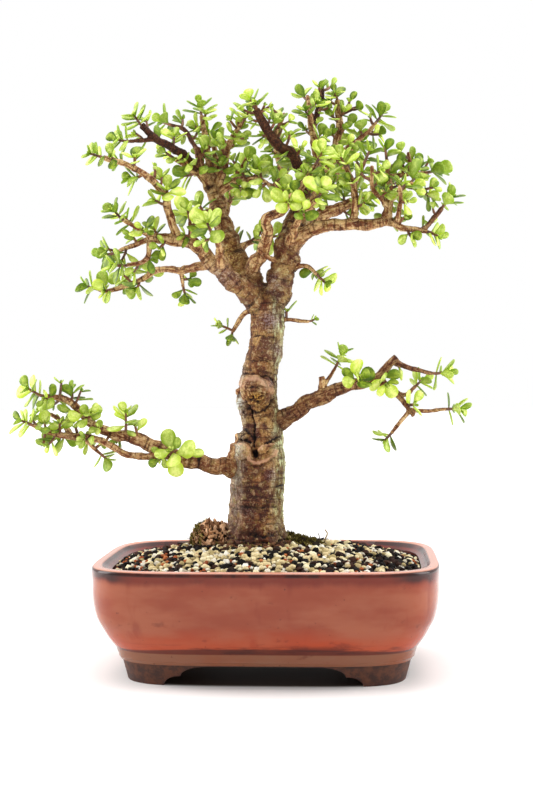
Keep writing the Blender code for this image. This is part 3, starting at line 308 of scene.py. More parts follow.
# Marks on the front of the trunk: the line that each follows across and up, half its width, its
# height off the surface, and its painted shade, or its painted highlight where that is below 0
FRONT_MARKS = [
    (
        [(-17, 168), (-14, 163.5), (-11, 159), (-9.6, 154), (-8.6, 147), (-8.2, 141), (-8.6, 136)],
        0.6, -2.8, 1.05,
    ),
    ([(-13, 161), (-12, 157), (-11.5, 151)], 1.4, -0.9, 0.2),
    ([(-13.5, 145.5), (-11, 143), (-9, 141)], 1.1, -1.3, 0.6),
    ([(-8.6, 132.6), (-8.2, 130.4)], 1.75, -6.0, 1.25),
    ([(-15.5, 134.5), (-13.5, 130.5)], 3.4, 0.5, -0.3),
    ([(-17.5, 136.5), (-13.5, 137.0), (-11.2, 134), (-10.8, 130)], 0.9, 0.9, -0.5),
    ([(-16, 133.5), (-14, 131), (-13.6, 128)], 0.5, -0.8, 0.5),
    ([(-3, 134.0), (2.5, 133.6)], 2.4, 0.2, -0.22),
    ([(-5.6, 133.0), (-3, 136.4), (3, 136.6)], 0.8, 0.7, -0.5),
    ([(-3.5, 131), (-0.5, 132), (2.6, 135.5)], 0.7, -1.0, 0.6),
    (
        [(-12.5, 128.4), (-10.5, 126.4), (-7.4, 125.4), (-2.6, 126.6), (1.5, 129.0), (4.6, 132.8)],
        1.1, 1.2, -0.8,
    ),
    ([(-14, 126), (-8, 123.6), (-2, 125), (4, 129)], 0.7, -0.9, 0.55),
    ([(-2.6, 137.8), (2, 139), (7.5, 141)], 0.65, -1.6, 0.9),
    ([(-20, 139.5), (-14, 139.0), (-11, 138)], 0.7, -1.7, 1.0),
    ([(-19, 145.4), (-13, 145.2)], 0.6, -1.5, 0.9),
    ([(-12, 158.5), (-7, 156), (-2, 157.5), (2, 161), (4.5, 165)], 1.0, -2.0, 0.75),
    ([(-17, 172), (-13, 176), (-7, 177), (-2, 174), (2, 169)], 2.8, 0.9, -0.5),
    ([(-19, 179.5), (-10, 179.8), (0, 178), (5, 174)], 0.6, -1.2, 0.8),
    ([(-18, 99.4), (-10, 98.6), (0, 99.2), (5, 98.4)], 0.8, -0.8, 0.6),
    ([(-12, 82), (-3, 81), (3, 82)], 1.0, -0.9, 0.6),
]
# Crumbled places: middle, reach and height
ROUGH_SPOTS = [
    ((-6.8, -16, 166.5), (6.4, 7.0, 5.0), 3.0),
    ((-14.5, -8, 142), (5.0, 6.0, 3.5), 1.2),
    ((-15, -10, 135), (5.5, 6.0, 5.0), 0.6),
    ((-1, -12, 134), (6.0, 5.0, 4.0), 0.7),
    ((-16, -9, 158), (2.5, 5.0, 9.0), 1.1),
]
# Where the bark is ochre, or violet-grey where the share is below 0: middle, reach and share
TINT_SPOTS = [
    ((-7.5, -16, 165.0), (5.6, 9.0, 3.8), 0.95),
    ((-5, -12, 158.0), (6.0, 7.0, 3.5), 0.35),
    ((-14, -9, 141.5), (4.5, 8.0, 3.0), 0.4),
    ((3, -10, 156.0), (5.0, 8.0, 8.0), 0.2),
    ((1.5, -11, 173.0), (4.5, 8.0, 4.0), -0.6),
    ((-11, -11, 175.0), (4.0, 8.0, 2.0), -0.3),
    ((2, -10, 212.0), (8.0, 8.0, 7.0), -0.75),
    ((6, -6, 193.0), (5.0, 8.0, 6.0), -0.6),
    ((2, -14, 118.0), (5.0, 7.0, 6.0), -0.6),
    ((-12, -14, 96.0), (6.0, 8.0, 7.0), -0.45),
    ((4, -9, 236.0), (6.0, 8.0, 9.0), -0.5),
    ((-22, -2, 252.0), (10.0, 8.0, 14.0), 0.6),
    ((-28, -14, 238.0), (13.0, 8.0, 10.0), -0.5),
    ((30, -8, 162.0), (24.0, 16.0, 14.0), 0.2),
    ((14, -3, 92.0), (6.0, 14.0, 14.0), 0.5),
]
# Broken stubs of an old second trunk on its left: middle, radius, top, bottom
STUBS = [((-14.9, -3.2), 8.8, 137.8, 120.0), ((-13.0, -4.0), 6.9, 144.0, 126.0)]
# Swellings on its front: middle, reach across, away and up, and turn in degrees
SWELLINGS = [
    ((-6.6, -7.6, 169.5), (10.2, 8.4, 9.6), 25),
    ((-14.8, -9.5, 133.0), (5.6, 6.6, 6.4), -20),
    ((-0.2, -11.4, 133.8), (7.0, 6.2, 4.8), 20),
    ((-8.0, -8.0, 122.0), (11.0, 8.0, 5.0), 0),
]
STRIP_SPACING = 1.2
# Raised strips on its front: places across and up with a radius, and how deep each is sunk
STRIPS = [
    ([(-18.8, 170.5, 1.2), (-17.4, 164, 2.3), (-14.6, 156, 2.9), (-12.6, 148, 2.9), (-12.0, 142, 2.2)], 1.0),
    ([(-7.4, 158, 2.6), (-5.6, 150, 3.2), (-5.2, 143, 2.9)], 1.9),
]
DARK_LIMBS = {
    "dark_bough": 0.95,
    "dark_bough_side": 0.8,
    "thin_bough": 0.75,
    "top_bough": 0.85,
    "top_knob": 1.0,
    "top_right_point": 0.7,
    "right_tip_up": 0.5,
    "back_left_post": 0.5,
    "elbow_side": 0.4,
    "low_right": 0.32,
    "low_right_fork": 0.35,
    "low_right_top": 0.45,
}


def squared(value, squareness):
    return math.copysign(abs(value) ** (2.0 / squareness), value)


def soil_height(x, y):
    """The surface of the mix over a place in the pot's own frame."""
    away = min(math.hypot(x / (POT_WIDTH / 2), y / (POT_DEPTH / 2)), 1.0)
    rough = noise.noise(Vector((x, y, 0.0)) * SOIL_WAVE) * SOIL_WAVE_HEIGHT
    return SOIL_CROWN + (SOIL_EDGE - SOIL_CROWN) * away**2 + rough * (1.0 - away**4)


def place_of(turned):
    """The matrix that takes millimetres in the pot's frame, or the tree's turned one, to the world."""
    turn = Matrix.Rotation(TREE_TURN if turned else 0.0, 4, "Z")
    return Matrix.Translation((POT_X * MM, 0, 0)) @ turn @ Matrix.Scale(MM, 4)


def mesh_of(bm, name):
    """The bmesh as a mesh. The bmesh is then done with."""
    mesh = bpy.data.meshes.new(name)
    bm.to_mesh(mesh)
    bm.free()
    return mesh


def linked_object(name, data):
    made = bpy.data.objects.new(name, data)
    bpy.context.scene.collection.objects.link(made)
    return made


def finish_piece(bm, name, materials, turned=True, outward=True, crease=CREASE):
    """Turns a bmesh in millimetres into a piece at the origin that rides on the root body."""
    bmesh.ops.transform(bm, matrix=place_of(turned), verts=bm.verts)
    if outward:
        bmesh.ops.recalc_face_normals(bm, faces=bm.faces)
    return piece_from_mesh(mesh_of(bm, name), name, materials, crease)


def piece_from_mesh(mesh, name, materials, crease):
    mesh.shade_smooth()
    if crease:
        mesh.set_sharp_from_angle(angle=crease)
    for material in materials:
        mesh.materials.append(material)
    piece = linked_object(name, mesh)
    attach(piece, "root")
    return piece


def evaluated_mesh(obj):
    graph = bpy.context.evaluated_depsgraph_get()
    return bpy.data.meshes.new_from_object(obj.evaluated_get(graph), depsgraph=graph)


def remove_object(obj):
    data = obj.data
    bpy.data.objects.remove(obj, do_unlink=True)
    (bpy.data.meshes if isinstance(data, bpy.types.Mesh) else bpy.data.curves).remove(data)


def random_vector(rng, low, high):
    return Vector([rng.uniform(low, high) for _ in range(3)])


# The tree's skeleton


def smooth_points(points, spacing):
    """Points along a Catmull-Rom curve through these, about a spacing apart."""
    padded = [points[0] * 2 - points[1]] + points + [points[-1] * 2 - points[-2]]
    found = [points[0]]
    for before, start, end, after in zip(padded, padded[1:], padded[2:], padded[3:]):
        steps = max(1, round((end - start).length / spacing))
        for step in range(1, steps + 1):
            t = step / steps
            bend = 2 * before - 5 * start + 4 * end - after
            twist = 3 * start - before - 3 * end + after
            found.append(0.5 * (2 * start + (end - before) * t + bend * t * t + twist * t * t * t))
    return found


def spread(values, share):
    """The value at a share of the way along evenly spread values."""
    place = max(0.0, min(1.0, share)) * (len(values) - 1)
    first = min(int(place), len(values) - 2)
    return values[first] + (values[first + 1] - values[first]) * (place - first)


class Limb:
    """A limb's smooth route, with its radius and a steady pair of side directions all along."""

    def __init__(self, corners, radii):
        self.points = smooth_points(corners, TUBE_SPACING)
        self.far = [0.0]
        for start, end in zip(self.points, self.points[1:]):
            self.far.append(self.far[-1] + (end - start).length)
        self.radii = [spread(radii, far / self.far[-1]) for far in self.far]
        ahead = self.points[1:] + [self.points[-1] * 2 - self.points[-2]]
        self.along = [(end - start).normalized() for start, end in zip(self.points, ahead)]
        side = Vector((1, 0, 0)) if abs(self.along[0].x) < 0.8 else Vector((0, 1, 0))
        self.sides = []
        for along in self.along:
            side = (side - along * side.dot(along)).normalized()
            self.sides.append(side)

    def at(self, share):
        """The point, direction and radius at a share of the limb's length."""
        wanted = share * self.far[-1]
        index = max(i for i in range(len(self.far) - 1) if self.far[i] <= wanted + 1e-6)
        start, end = self.points[index], self.points[index + 1]
        part = (wanted - self.far[index]) / (self.far[index + 1] - self.far[index])
        radius = self.radii[index] + (self.radii[index + 1] - self.radii[index]) * part
        return start.lerp(end, part), (end - start).normalized(), radius


def grow_limbs():
    """Every limb by name, the trunk first, in the tree's frame."""
    girths = [row[3] for row in TRUNK]
    trunk = Limb([Vector(row[:3]) for row in TRUNK], girths)
    trunk.radii = list(np.interp([point.z for point in trunk.points], [row[2] for row in TRUNK], girths))
    limbs = {"trunk": trunk}
    for name, (parent, share, radii, runs) in LIMBS.items():
        corners = [limbs[parent].at(share)[0]]
        for run in runs:
            corners.append(corners[-1] + Vector(run))
        limbs[name] = Limb(corners, radii)
    return limbs


def knotted(name, limb, rng):
    """The limb's route and radii with leaf scars and a little wandering, as a grown twig has."""
    if name == "trunk":
        return limb.points, limb.radii
    thin = max(0.0, min(1.0, (LARGEST_TWIG - limb.radii[0]) / 5.0))
    knots = [rng.uniform(2.0, 5.0)]
    while knots[-1] < limb.far[-1]:
        knots.append(knots[-1] + rng.uniform(*KNOT_SPACING) * (1.0 + limb.radii[0] * 0.08))
    points, radii = [], []
    seed = random_vector(rng, 0, 50)
    for point, far, radius in zip(limb.points, limb.far, limb.radii):
        swell = max(math.exp(-(((far - knot) / KNOT_REACH) ** 2)) for knot in knots)
        radii.append(radius * (1.0 + KNOT_SWELL * swell * (0.45 + 0.55 * thin)))
        ease = min(1.0, far / 6.0) * min(1.0, (limb.far[-1] - far) / 4.0)
        shift = noise.noise_vector(seed + point * WANDER_WAVE)
        points.append(point + shift * radius * WANDER * 2.0 * ease)
    return points, radii


def add_tube(joined, points, radii, sides=TUBE_SIDES):
    """Adds a round tube along points in millimetres, with closed ends."""
    curve = bpy.data.curves.new("tube", "CURVE")
    curve.dimensions = "3D"
    curve.bevel_depth = 1.0
    curve.bevel_resolution = sides
    curve.use_fill_caps = True
    spline = curve.splines.new("POLY")
    spline.points.add(len(points) - 1)
    for target, point, radius in zip(spline.points, points, radii):
        target.co = (*point, 1.0)
        target.radius = radius
    tube = linked_object("tube", curve)
    mesh = evaluated_mesh(tube)
    joined.from_mesh(mesh)
    bpy.data.meshes.remove(mesh)
    remove_object(tube)


def add_stub(joined, middle, half, top, bottom):
    """A broken piece of an old trunk with a nearly flat top."""
    place = Matrix.Translation((*middle, (top + bottom) / 2))
    made = bmesh.ops.create_cone(
        joined, cap_ends=True, segments=9, radius1=half * 1.1, radius2=half, depth=top - bottom, matrix=place
    )
    for vert in made["verts"]:
        vert.co += noise.noise_vector(vert.co * 0.3) * half * 0.3
        if vert.co.z > top - 4:
            vert.co.z += (vert.co.x - middle[0]) * 0.12


def on_front(trunk, x, z, sunk):
    """The place on the front of the trunk at x across and z up, sunk under the bark."""
    index = min(range(len(trunk.points)), key=lambda i: abs(trunk.points[i].z - z))
    middle, radius = trunk.points[index], trunk.radii[index]
    aside = min(abs(x - middle.x), radius * 0.97)
    return Vector((x, middle.y - math.sqrt(radius**2 - aside**2) + sunk, z))


def add_swelling(joined, middle, reach, turn):
    place = Matrix.Translation(middle) @ Matrix.Rotation(math.radians(-turn), 4, "Y")
    stretch = Matrix.Diagonal((*reach, 1.0))
    bmesh.ops.create_icosphere(joined, subdivisions=4, radius=1.0, matrix=place @ stretch)


def near_limbs(limbs, co):
    """For each point, its place along, across and away in the nearest limb's own frame, and that limb."""
    best = np.full(len(co), np.inf)
    grain = np.zeros((len(co), 3))
    girth = np.zeros(len(co))
    owner = np.zeros(len(co), int)
    for number, limb in enumerate(limbs.values()):
        points = np.array(limb.points)
        radii = np.array(limb.radii)
        reach = radii.max() + 4.0
        inside = ((co > points.min(0) - reach) & (co < points.max(0) + reach)).all(axis=1)
        index = np.flatnonzero(inside)
        if not len(index):
            continue
        apart = np.linalg.norm(co[index, None] - points[None], axis=2) - radii[None]
        nearest = apart.argmin(axis=1)
        gap = apart[np.arange(len(index)), nearest]
        better = gap < best[index]
        index, nearest, gap = index[better], nearest[better], gap[better]
        best[index] = gap
        owner[index] = number
        girth[index] = radii[nearest]
        along = np.array(limb.along)[nearest]
        side = np.array(limb.sides)[nearest]
        other = np.cross(along, side)
        offset = co[index] - points[nearest]
        grain[index, 0] = (offset * side).sum(1)
        grain[index, 1] = (offset * other).sum(1)
        grain[index, 2] = np.array(limb.far)[nearest] + (offset * along).sum(1)
    return grain, girth, owner


def line_distance(x, z, line):
    """How far each place across and up is from a drawn line."""
    found = np.full(len(x), np.inf)
    for (x1, z1), (x2, z2) in zip(line, line[1:]):
        length = math.hypot(x2 - x1, z2 - z1)
        t = np.clip(((x - x1) * (x2 - x1) + (z - z1) * (z2 - z1)) / length**2, 0, 1)
        found = np.minimum(found, np.hypot(x - x1 - t * (x2 - x1), z - z1 - t * (z2 - z1)))
    return found


def nearness(co, middle, reach):
    """1 at the middle, and less and less out to the reach and past it."""
    return np.exp(-(((co - middle) / reach) ** 2).sum(1))


def noise_of(places):
    return np.fromiter((noise.noise(Vector(place)) for place in places), float, len(places))


def carve_bark(co, out, grain, girth, owner):
    """How far each point of the skin moves along its normal, its painted shading and its tint: painted shade
    in grooves, cracks, scars and hollows, and painted highlight on raised places where it is below 0.
    """
    scale = np.clip(girth / 8.0, 0.3, 1.0)
    shift = owner[:, None] * OWNER_SHIFT
    trunk = owner == 0
    wrinkles = noise_of(grain * WRINKLE_WAVES + shift)
    scales = noise_of(grain * SCALE_WAVES + shift)
    crumbs = noise_of(co * 1.5)
    height = (wrinkles * 0.9 + scales * 0.9 + crumbs * 0.5) * GRAIN_HEIGHT * scale
    height += noise_of(co * 0.17) * LUMP_HEIGHT * np.clip(girth / 5.0, 0.2, 1.8)
    rings = noise_of(grain * RING_WAVES + shift)
    cut = np.clip(rings - 0.25, 0, 1) * np.where(trunk, 0.7, 1.6)
    height -= cut * scale
    # painted shade: darker in ring grooves, scale troughs and crumbled pits
    painted_shading = cut * 0.9 + np.clip(-scales - 0.2, 0, 1) * 0.6 + np.clip(-crumbs - 0.25, 0, 1) * 0.5
    wave = noise_of(co * 0.12 + 9.0) * 1.6 + noise_of(co * 0.4) * 0.5
    for level, rise, depth in TRUNK_SCARS:
        off = co[:, 2] - level - rise * co[:, 0] - wave
        patchy = np.clip(0.55 + noise_of(co * 0.11 + level) * 1.3, 0, 1)
        groove = np.exp(-((off / 0.5) ** 2)) * trunk * patchy
        ridge = np.exp(-(((off - 1.4) / 0.9) ** 2)) * trunk * patchy
        height += depth * (RIDGE_HEIGHT * ridge - SCAR_DEPTH * groove)
        # painted shade in each scar's groove, a little painted highlight on its ridge
        painted_shading += groove * depth * 0.8 - ridge * depth * 0.12
    front = np.clip(-out[:, 1] * 2.2 + 0.5, 0, 1) * (co[:, 1] < 2) * (girth > 5.0)
    jitter = np.stack([noise_of(co * 0.5 + 3.0), noise_of(co * 0.5 + 8.0)])
    for line, half, lift, shading_share in FRONT_MARKS:
        away = line_distance(co[:, 0] + jitter[0], co[:, 2] + jitter[1], line)
        near = np.exp(-((away / half) ** 2)) * front
        height += near * lift
        # painted shade along grooved marks, painted highlight along raised ones
        painted_shading += near * shading_share
    for middle, reach, lift in ROUGH_SPOTS:
        near = nearness(co, middle, reach)
        rough = noise_of(co * 0.7) + noise_of(co * 1.7) * 0.5
        height += near * lift * rough
        # painted shade in the pits of crumbled places
        painted_shading += near * np.clip(-rough * 1.8, -0.2, 1)
    foot = np.clip((FOOT_TOP - co[:, 2]) / FOOT_FADE, 0, 1) * trunk
    crust = noise_of(co * (0.28, 0.28, 0.5)) + noise_of(co * 0.75) * 0.6
    height += foot * crust * FOOT_CRUST
    # painted shade in the hollows of the foot's crust
    painted_shading += foot * np.clip(-crust - 0.05, 0, 1) * 1.5
    tint = sum(nearness(co, middle, reach) * share for middle, reach, share in TINT_SPOTS)
    return height, np.clip(painted_shading, -1, 1.5), tint


def set_attribute(mesh, name, values):
    kind, field = ("FLOAT", "value") if values.ndim == 1 else ("FLOAT_VECTOR", "vector")
    mesh.attributes.new(name, kind, "POINT").data.foreach_set(field, values.astype(np.float32).ravel())


def vectors_of(items, field):
    """A vector field of all these vertices or normals, as rows."""
    found = np.empty(len(items) * 3, np.float32)
    items.foreach_get(field, found)
    return found.reshape(-1, 3).astype(float)


def add_front_strips(joined, trunk):
    for rows, sunk in STRIPS:
        line = smooth_points([on_front(trunk, x, z, sunk) for x, z, _ in rows], STRIP_SPACING)
        radii = [spread([row[2] for row in rows], index / (len(line) - 1)) for index in range(len(line))]
        add_tube(joined, line, radii)


def make_bark_mesh(limbs, voxel, share):
    """One carved skin over all limbs, in millimetres in the tree's frame."""
    rng = random.Random(BARK_SEED)
    noise.seed_set(BARK_SEED)  # for noise_vector, which otherwise starts from the clock
    joined = bmesh.new()
    for name, limb in limbs.items():
        points, radii = knotted(name, limb, rng)
        add_tube(joined, points, [radius + SOAK for radius in radii])
    for stub in STUBS:
        add_stub(joined, *stub)
    for swelling in SWELLINGS:
        add_swelling(joined, *swelling)
    add_front_strips(joined, limbs["trunk"])
    draft = linked_object("bark_draft", mesh_of(joined, "bark_draft"))
    remesh = draft.modifiers.new("one skin", "REMESH")
    remesh.mode = "VOXEL"
    remesh.voxel_size = voxel
    soften = draft.modifiers.new("soften", "SMOOTH")
    soften.factor = 0.5
    soften.iterations = SKIN_PASSES
    skin = evaluated_mesh(draft)
    remove_object(draft)
    co, out = vectors_of(skin.vertices, "co"), vectors_of(skin.vertex_normals, "vector")
    grain, girth, owner = near_limbs(limbs, co)
    height, painted_shading, tint = carve_bark(co, out, grain, girth, owner)
    co += out * height[:, None]
    skin.vertices.foreach_set("co", co.astype(np.float32).ravel())
    dark = np.array([DARK_LIMBS.get(name, 0.0) for name in limbs])[owner]
    # the painted shade and highlight go to the bark material as an attribute
    looks = {"grain": grain, "girth": girth, "painted_shading": painted_shading, "dark": dark, "tint": tint}
    for name, values in looks.items():
        set_attribute(skin, name, values)
    carved = linked_object("bark_carved", skin)
    carved.modifiers.new("fewer faces", "DECIMATE").ratio = share
    final = evaluated_mesh(carved)
    remove_object(carved)
    return final

# Leaves and young stems
LEAF_SIDES = 8
LEAF_ROWS = 8
LEAF_WIDTHS = (0.58, 0.82)  # of the length
LEAF_THICKNESS = 1.25
LEAF_CLEARANCE = 0.4
LEAF_BALLS = (0.45, 0.85)
LEAF_BALL = 0.25
LEAF_SHRINKS = (1.0, 0.82, 0.64)
LEAF_VARIES = (0.82, 1.1)
LEAF_TILTS = (84, 76, 66, 54, 40)  # from the stem, in degrees, lowest pair first
STEM_SIDES = 6
STEM_RADIUS = 0.75
STEM_TAPER = 0.9
STEM_BEND = 0.45
MOST_BALLS = 20000
LIGHT = Vector((0.0, -0.5, 0.87))
CROWN_MIDDLE = Vector((5, 0, 275))
SHOOT_LENGTH = 0.75  # of the solid shoot's, because the leaves reach past it
SHOOT_LEAF = 1.22  # of the solid leaf's length
LONGEST_LEAF = 15.0
LEAF_CREASE = math.radians(60)
LEAF_SHAPES = {"cup": (-0.05, 0.2), "droop": (-0.12, 0.22), "wave": (-0.12, 0.12), "twist": (-0.25, 0.25)}
BARE_LIMBS = {"healed_knob", "left_ledge", "left_spike", "low_left_snag"}
BARE_LIMBS |= {"trunk_" + side + "_twig" for side in ("left", "right")}
BARE_LIMBS |= {"low_right_" + end for end in ("stub", "shoot", "top", "out", "down", "mid")}
THICKEST_END = 3.2  # a limb with a thicker end has no side shoots
THICKEST_LEAFY = 3.4  # the radius of a limb where side shoots stand
SIDE_LENGTHS = (3.5, 7)
SIDE_LEAVES = (8.0, 12.5)
SIDE_PAIRS = (2, 3, 3)
SIDE_TURNS = (70, 170)  # from one to the next, in degrees
USUAL_START = 0.3
TIP_MARGIN = 2.5
SIDE_GAPS = (3.1, 5.4)
FULL_CROWN_HEIGHT = 286  # side shoots stand closer above it
FULL_SHARE = 0.85  # of those gaps, up there
SPARSE_SHARE = 1.5  # of those gaps, lower down and on the left
# Where the side shoots begin, as a share of the limb, if not at the usual place
SIDE_START = {
    "low_left": 0.6,
    "low_left_under": 0.58,
    "low_right": 0.95,
    "right_limb": 0.72,
    "left_limb": 0.72,
    "left_low_arm": 0.55,
    "front_left_limb": 0.85,
    "front_mid_limb": 0.75,
    "elbow": 0.68,
    "fork_twig": 0.7,
    "leader_twig": 0.85,
    "low_right_fork": 0.75,
    "far_back_limb": 0.3,
    "back_limb": 0.3,
    "back_right_limb": 0.3,
    "right_back_limb": 0.35,
}
# Side shoots given one by one: share, heading, length, leaf length, pairs
EXTRA_SHOOTS = {
    "low_left": [
        (0.93, (1, -2, 8), 8, 9, 3),
        (0.86, (2, 2, 7), 8, 9, 3),
        (0.55, (-2, -5, 6), 9, 9, 2),
        (0.33, (5, -7, 4), 8, 12, 2),
        (0.42, (-3, -8, -3), 8, 12, 2),
    ],
    "low_right": [(0.85, (2, -7, -5), 8, 12.5, 3)],
    "low_left_under": [(0.9, (0, -3, -7), 7, 9, 2), (0.8, (0, -4, 5), 8, 9, 3)],
    "trunk_right_twig": [(0.45, (-1, 0, 8), 4, 9, 1), (1.0, (5, 0, 4), 3, 5, 2)],
    "trunk_left_twig": [(0.97, (-9, -2, 3), 9, 7, 3), (1.0, (2, -3, -5), 3, 9, 2)],
    "top_bough": [
        (0.99, (-2, -8, 5), 6, 13, 3),
        (0.95, (8, -4, 5), 6, 11, 2),
        (0.97, (-8, -2, 6), 7, 12, 3),
    ],
    "back_left_right": [(0.75, (8, -5, 3), 8, 12, 3), (0.9, (-4, -6, 6), 7, 12, 3)],
    "top_bough_side": [(0.8, (-6, -4, 5), 7, 11, 3)],
}


class Crowding:
    """Where leaves and wood are, as balls, so that no leaf grows through another shoot's."""

    def __init__(self, limbs):
        self.middles = np.zeros((MOST_BALLS, 3))
        self.radii = np.zeros(MOST_BALLS)
        self.owners = np.zeros(MOST_BALLS, int)
        self.count = 0
        for limb in limbs.values():
            for point, radius in zip(limb.points, limb.radii):
                self.add([(point, radius)], -1)

    def free(self, balls, owner):
        used = slice(0, self.count)
        others = self.owners[used] != owner
        for middle, radius in balls:
            apart = np.linalg.norm(self.middles[used] - np.array(middle), axis=1)
            if (others & (apart < self.radii[used] + radius + LEAF_CLEARANCE)).any():
                return False
        return True

    def add(self, balls, owner):
        for middle, radius in balls:
            self.middles[self.count] = middle
            self.radii[self.count] = radius
            self.owners[self.count] = owner
            self.count += 1


def leaf_balls(root, way, length):
    return [(root + way * length * share, length * LEAF_BALL) for share in LEAF_BALLS]


def add_leaf(bm, root, way, face_way, length, width, rng):
    """A thick blade, narrow at its foot and round at its tip, cupped a little towards its face."""
    across = way.cross(face_way).normalized()
    up = across.cross(way).normalized()
    blade = bm.verts.layers.float_vector["blade"]
    tone = bm.verts.layers.float["tone"]
    made = bmesh.ops.create_uvsphere(bm, u_segments=LEAF_SIDES, v_segments=LEAF_ROWS, radius=1.0)
    shade = rng.random()
    cup, droop, wave, twist = [rng.uniform(*limits) for limits in LEAF_SHAPES.values()]
    thick = LEAF_THICKNESS * min(1.0, length / 7.0)
    for vert in made["verts"]:
        x, y, z = vert.co
        t = (z + 1) / 2
        ring = math.sqrt(max(0.0, 1 - z * z))
        across_share = x / ring if ring > 1e-4 else 0.0
        face_share = y / ring if ring > 1e-4 else 0.0
        half = width / 2 * ring * (1 + 0.36 * z) * (0.3 + 0.7 * min(1.0, t * 2.2)) / 1.06
        deep = thick / 2 * ring**0.5
        sideways = across_share * half
        lift = face_share * deep + cup * abs(sideways) + wave * sideways * math.sin(t * 5)
        lift += twist * sideways * t - droop * length * t * t
        vert.co = root + way * (length * t) + across * sideways + up * lift
        vert[blade] = (across_share * ring, t, face_share)
        vert[tone] = shade
    for face in {face for vert in made["verts"] for face in vert.link_faces}:
        face.material_index = 0


def add_stem(bm, middles, radii):
    """A young stem through these middles, closed at both ends."""
    blade = bm.verts.layers.float_vector["blade"]
    along = (middles[1] - middles[0]).normalized()
    turn = along.to_track_quat("Z", "Y").to_matrix().to_4x4()
    place = Matrix.Translation(middles[0]) @ turn
    made = bmesh.ops.create_circle(bm, cap_ends=True, segments=STEM_SIDES, radius=radii[0], matrix=place)
    face = made["verts"][0].link_faces[0]
    faces = [face]
    for index in range(1, len(middles)):
        if index < len(middles) - 1:
            along = (middles[index + 1] - middles[index - 1]).normalized()
        before = set(face.verts)
        grown = bmesh.ops.extrude_face_region(bm, geom=[face])["geom"]
        top = next(item for item in grown if isinstance(item, bmesh.types.BMFace))
        ratio = radii[index] / radii[index - 1]
        middle = middles[index - 1]
        for vert in top.verts:
            offset = (vert.co - middle) * ratio
            offset -= along * offset.dot(along)
            vert.co = middles[index] + offset
        faces += [side for vert in before for side in vert.link_faces]
        face = top
    faces.append(face)
    for side in set(item for item in faces if item.is_valid):
        side.material_index = 1
        for vert in side.verts:
            vert[blade] = (0.0, 0.0, 0.0)


def start_shoot(limb, share, heading):
    """Where a shoot leaves its twig, and which way it sets out."""
    point, tangent, radius = limb.at(share)
    if share < 1.0:
        sideways = (heading - tangent * heading.dot(tangent)).normalized()
        return point + sideways * radius * 0.6, sideways
    return point - tangent * 0.4, tangent


def add_shoot(bm, limb, share, heading, length, leaf, pairs, rng, crowding, owner):
    """A young stem with its opposite leaves, and a bud at its tip. Says how many leaves found room."""
    start, along = start_shoot(limb, share, heading)
    heading = heading.normalized()
    side = Matrix.Rotation(rng.uniform(0, math.tau), 3, along) @ along.orthogonal().normalized()
    radius = STEM_RADIUS * (0.8 + 0.04 * leaf)
    middle = start.copy()
    middles, radii = [start - along * 0.8], [radius]
    outside = (start - CROWN_MIDDLE).normalized()
    grown = 0
    for pair in range(pairs):
        along = along.lerp(heading, STEM_BEND).normalized()
        side = (side - along * side.dot(along)).normalized()
        middle = middle + along * length / pairs
        radius *= STEM_TAPER
        middles.append(middle)
        radii.append(radius * 1.12)
        turn = side if pair % 2 == 0 else along.cross(side).normalized()
        turn = Matrix.Rotation(rng.uniform(-0.35, 0.35), 3, along) @ turn
        step = len(LEAF_TILTS) - pairs + pair
        tilt = math.radians(LEAF_TILTS[max(0, min(step, len(LEAF_TILTS) - 1))] + rng.uniform(-9, 9))
        size = leaf * rng.uniform(*LEAF_VARIES) * (0.74 if pair == pairs - 1 and pairs > 1 else 1.0)
        for out in (turn, -turn):
            lean = tilt + math.radians(rng.uniform(-8, 8))
            way = out * math.sin(lean) + along * math.cos(lean)
            inner = along * math.sin(lean) - out * math.cos(lean)
            face_way = inner + (LIGHT * 0.8 + outside * 0.7) * rng.uniform(0.5, 1.4)
            root = middle + out * radius * 0.7
            for shrink in LEAF_SHRINKS:
                balls = leaf_balls(root, way, size * shrink)
                if crowding.free(balls, owner):
                    width = size * shrink * rng.uniform(*LEAF_WIDTHS)
                    add_leaf(bm, root, way, face_way, size * shrink, width, rng)
                    crowding.add(balls, owner)
                    grown += 1
                    break
    middles.append(middle + along * 1.2)
    radii.append(radius * 0.6)
    add_stem(bm, middles, radii)
    for turn in (side, -side, along.cross(side), -along.cross(side)):
        lean = math.radians(rng.uniform(14, 30))
        way = turn * math.sin(lean) + along * math.cos(lean)
        length = leaf * rng.uniform(0.2, 0.36)
        add_leaf(bm, middle + turn * radius * 0.3, way, -turn + along, length, length * 0.6, rng)
    return grown


def new_foliage():
    bm = bmesh.new()
    bm.verts.layers.float_vector.new("blade")
    bm.verts.layers.float.new("tone")
    return bm


def side_shoots(name, limb, rng):
    """Short shoots up the outer half of a limb: share, heading, length, leaf length, pairs."""
    found = []
    if name in BARE_LIMBS or limb.radii[-1] > THICKEST_END:
        return found
    end = limb.far[-1]
    place = end * SIDE_START.get(name, USUAL_START) + rng.uniform(0, 3)
    turn = rng.uniform(0, math.tau)
    while place < end - TIP_MARGIN:
        point, tangent, radius = limb.at(place / end)
        if radius < THICKEST_LEAFY:
            across = Matrix.Rotation(turn, 3, tangent) @ tangent.orthogonal().normalized()
            outside = (point - CROWN_MIDDLE).normalized()
            heading = across * 1.0 + tangent * 0.45 + outside * 0.5 + Vector((0, 0, 0.45))
            length, leaf = rng.uniform(*SIDE_LENGTHS), rng.uniform(*SIDE_LEAVES)
            found.append((place / end, heading.normalized(), length, leaf, rng.choice(SIDE_PAIRS)))
        turn += math.radians(rng.uniform(*SIDE_TURNS))
        full = point.x > -25 and point.z > FULL_CROWN_HEIGHT
        place += rng.uniform(*SIDE_GAPS) * (FULL_SHARE if full else SPARSE_SHARE)
    return found


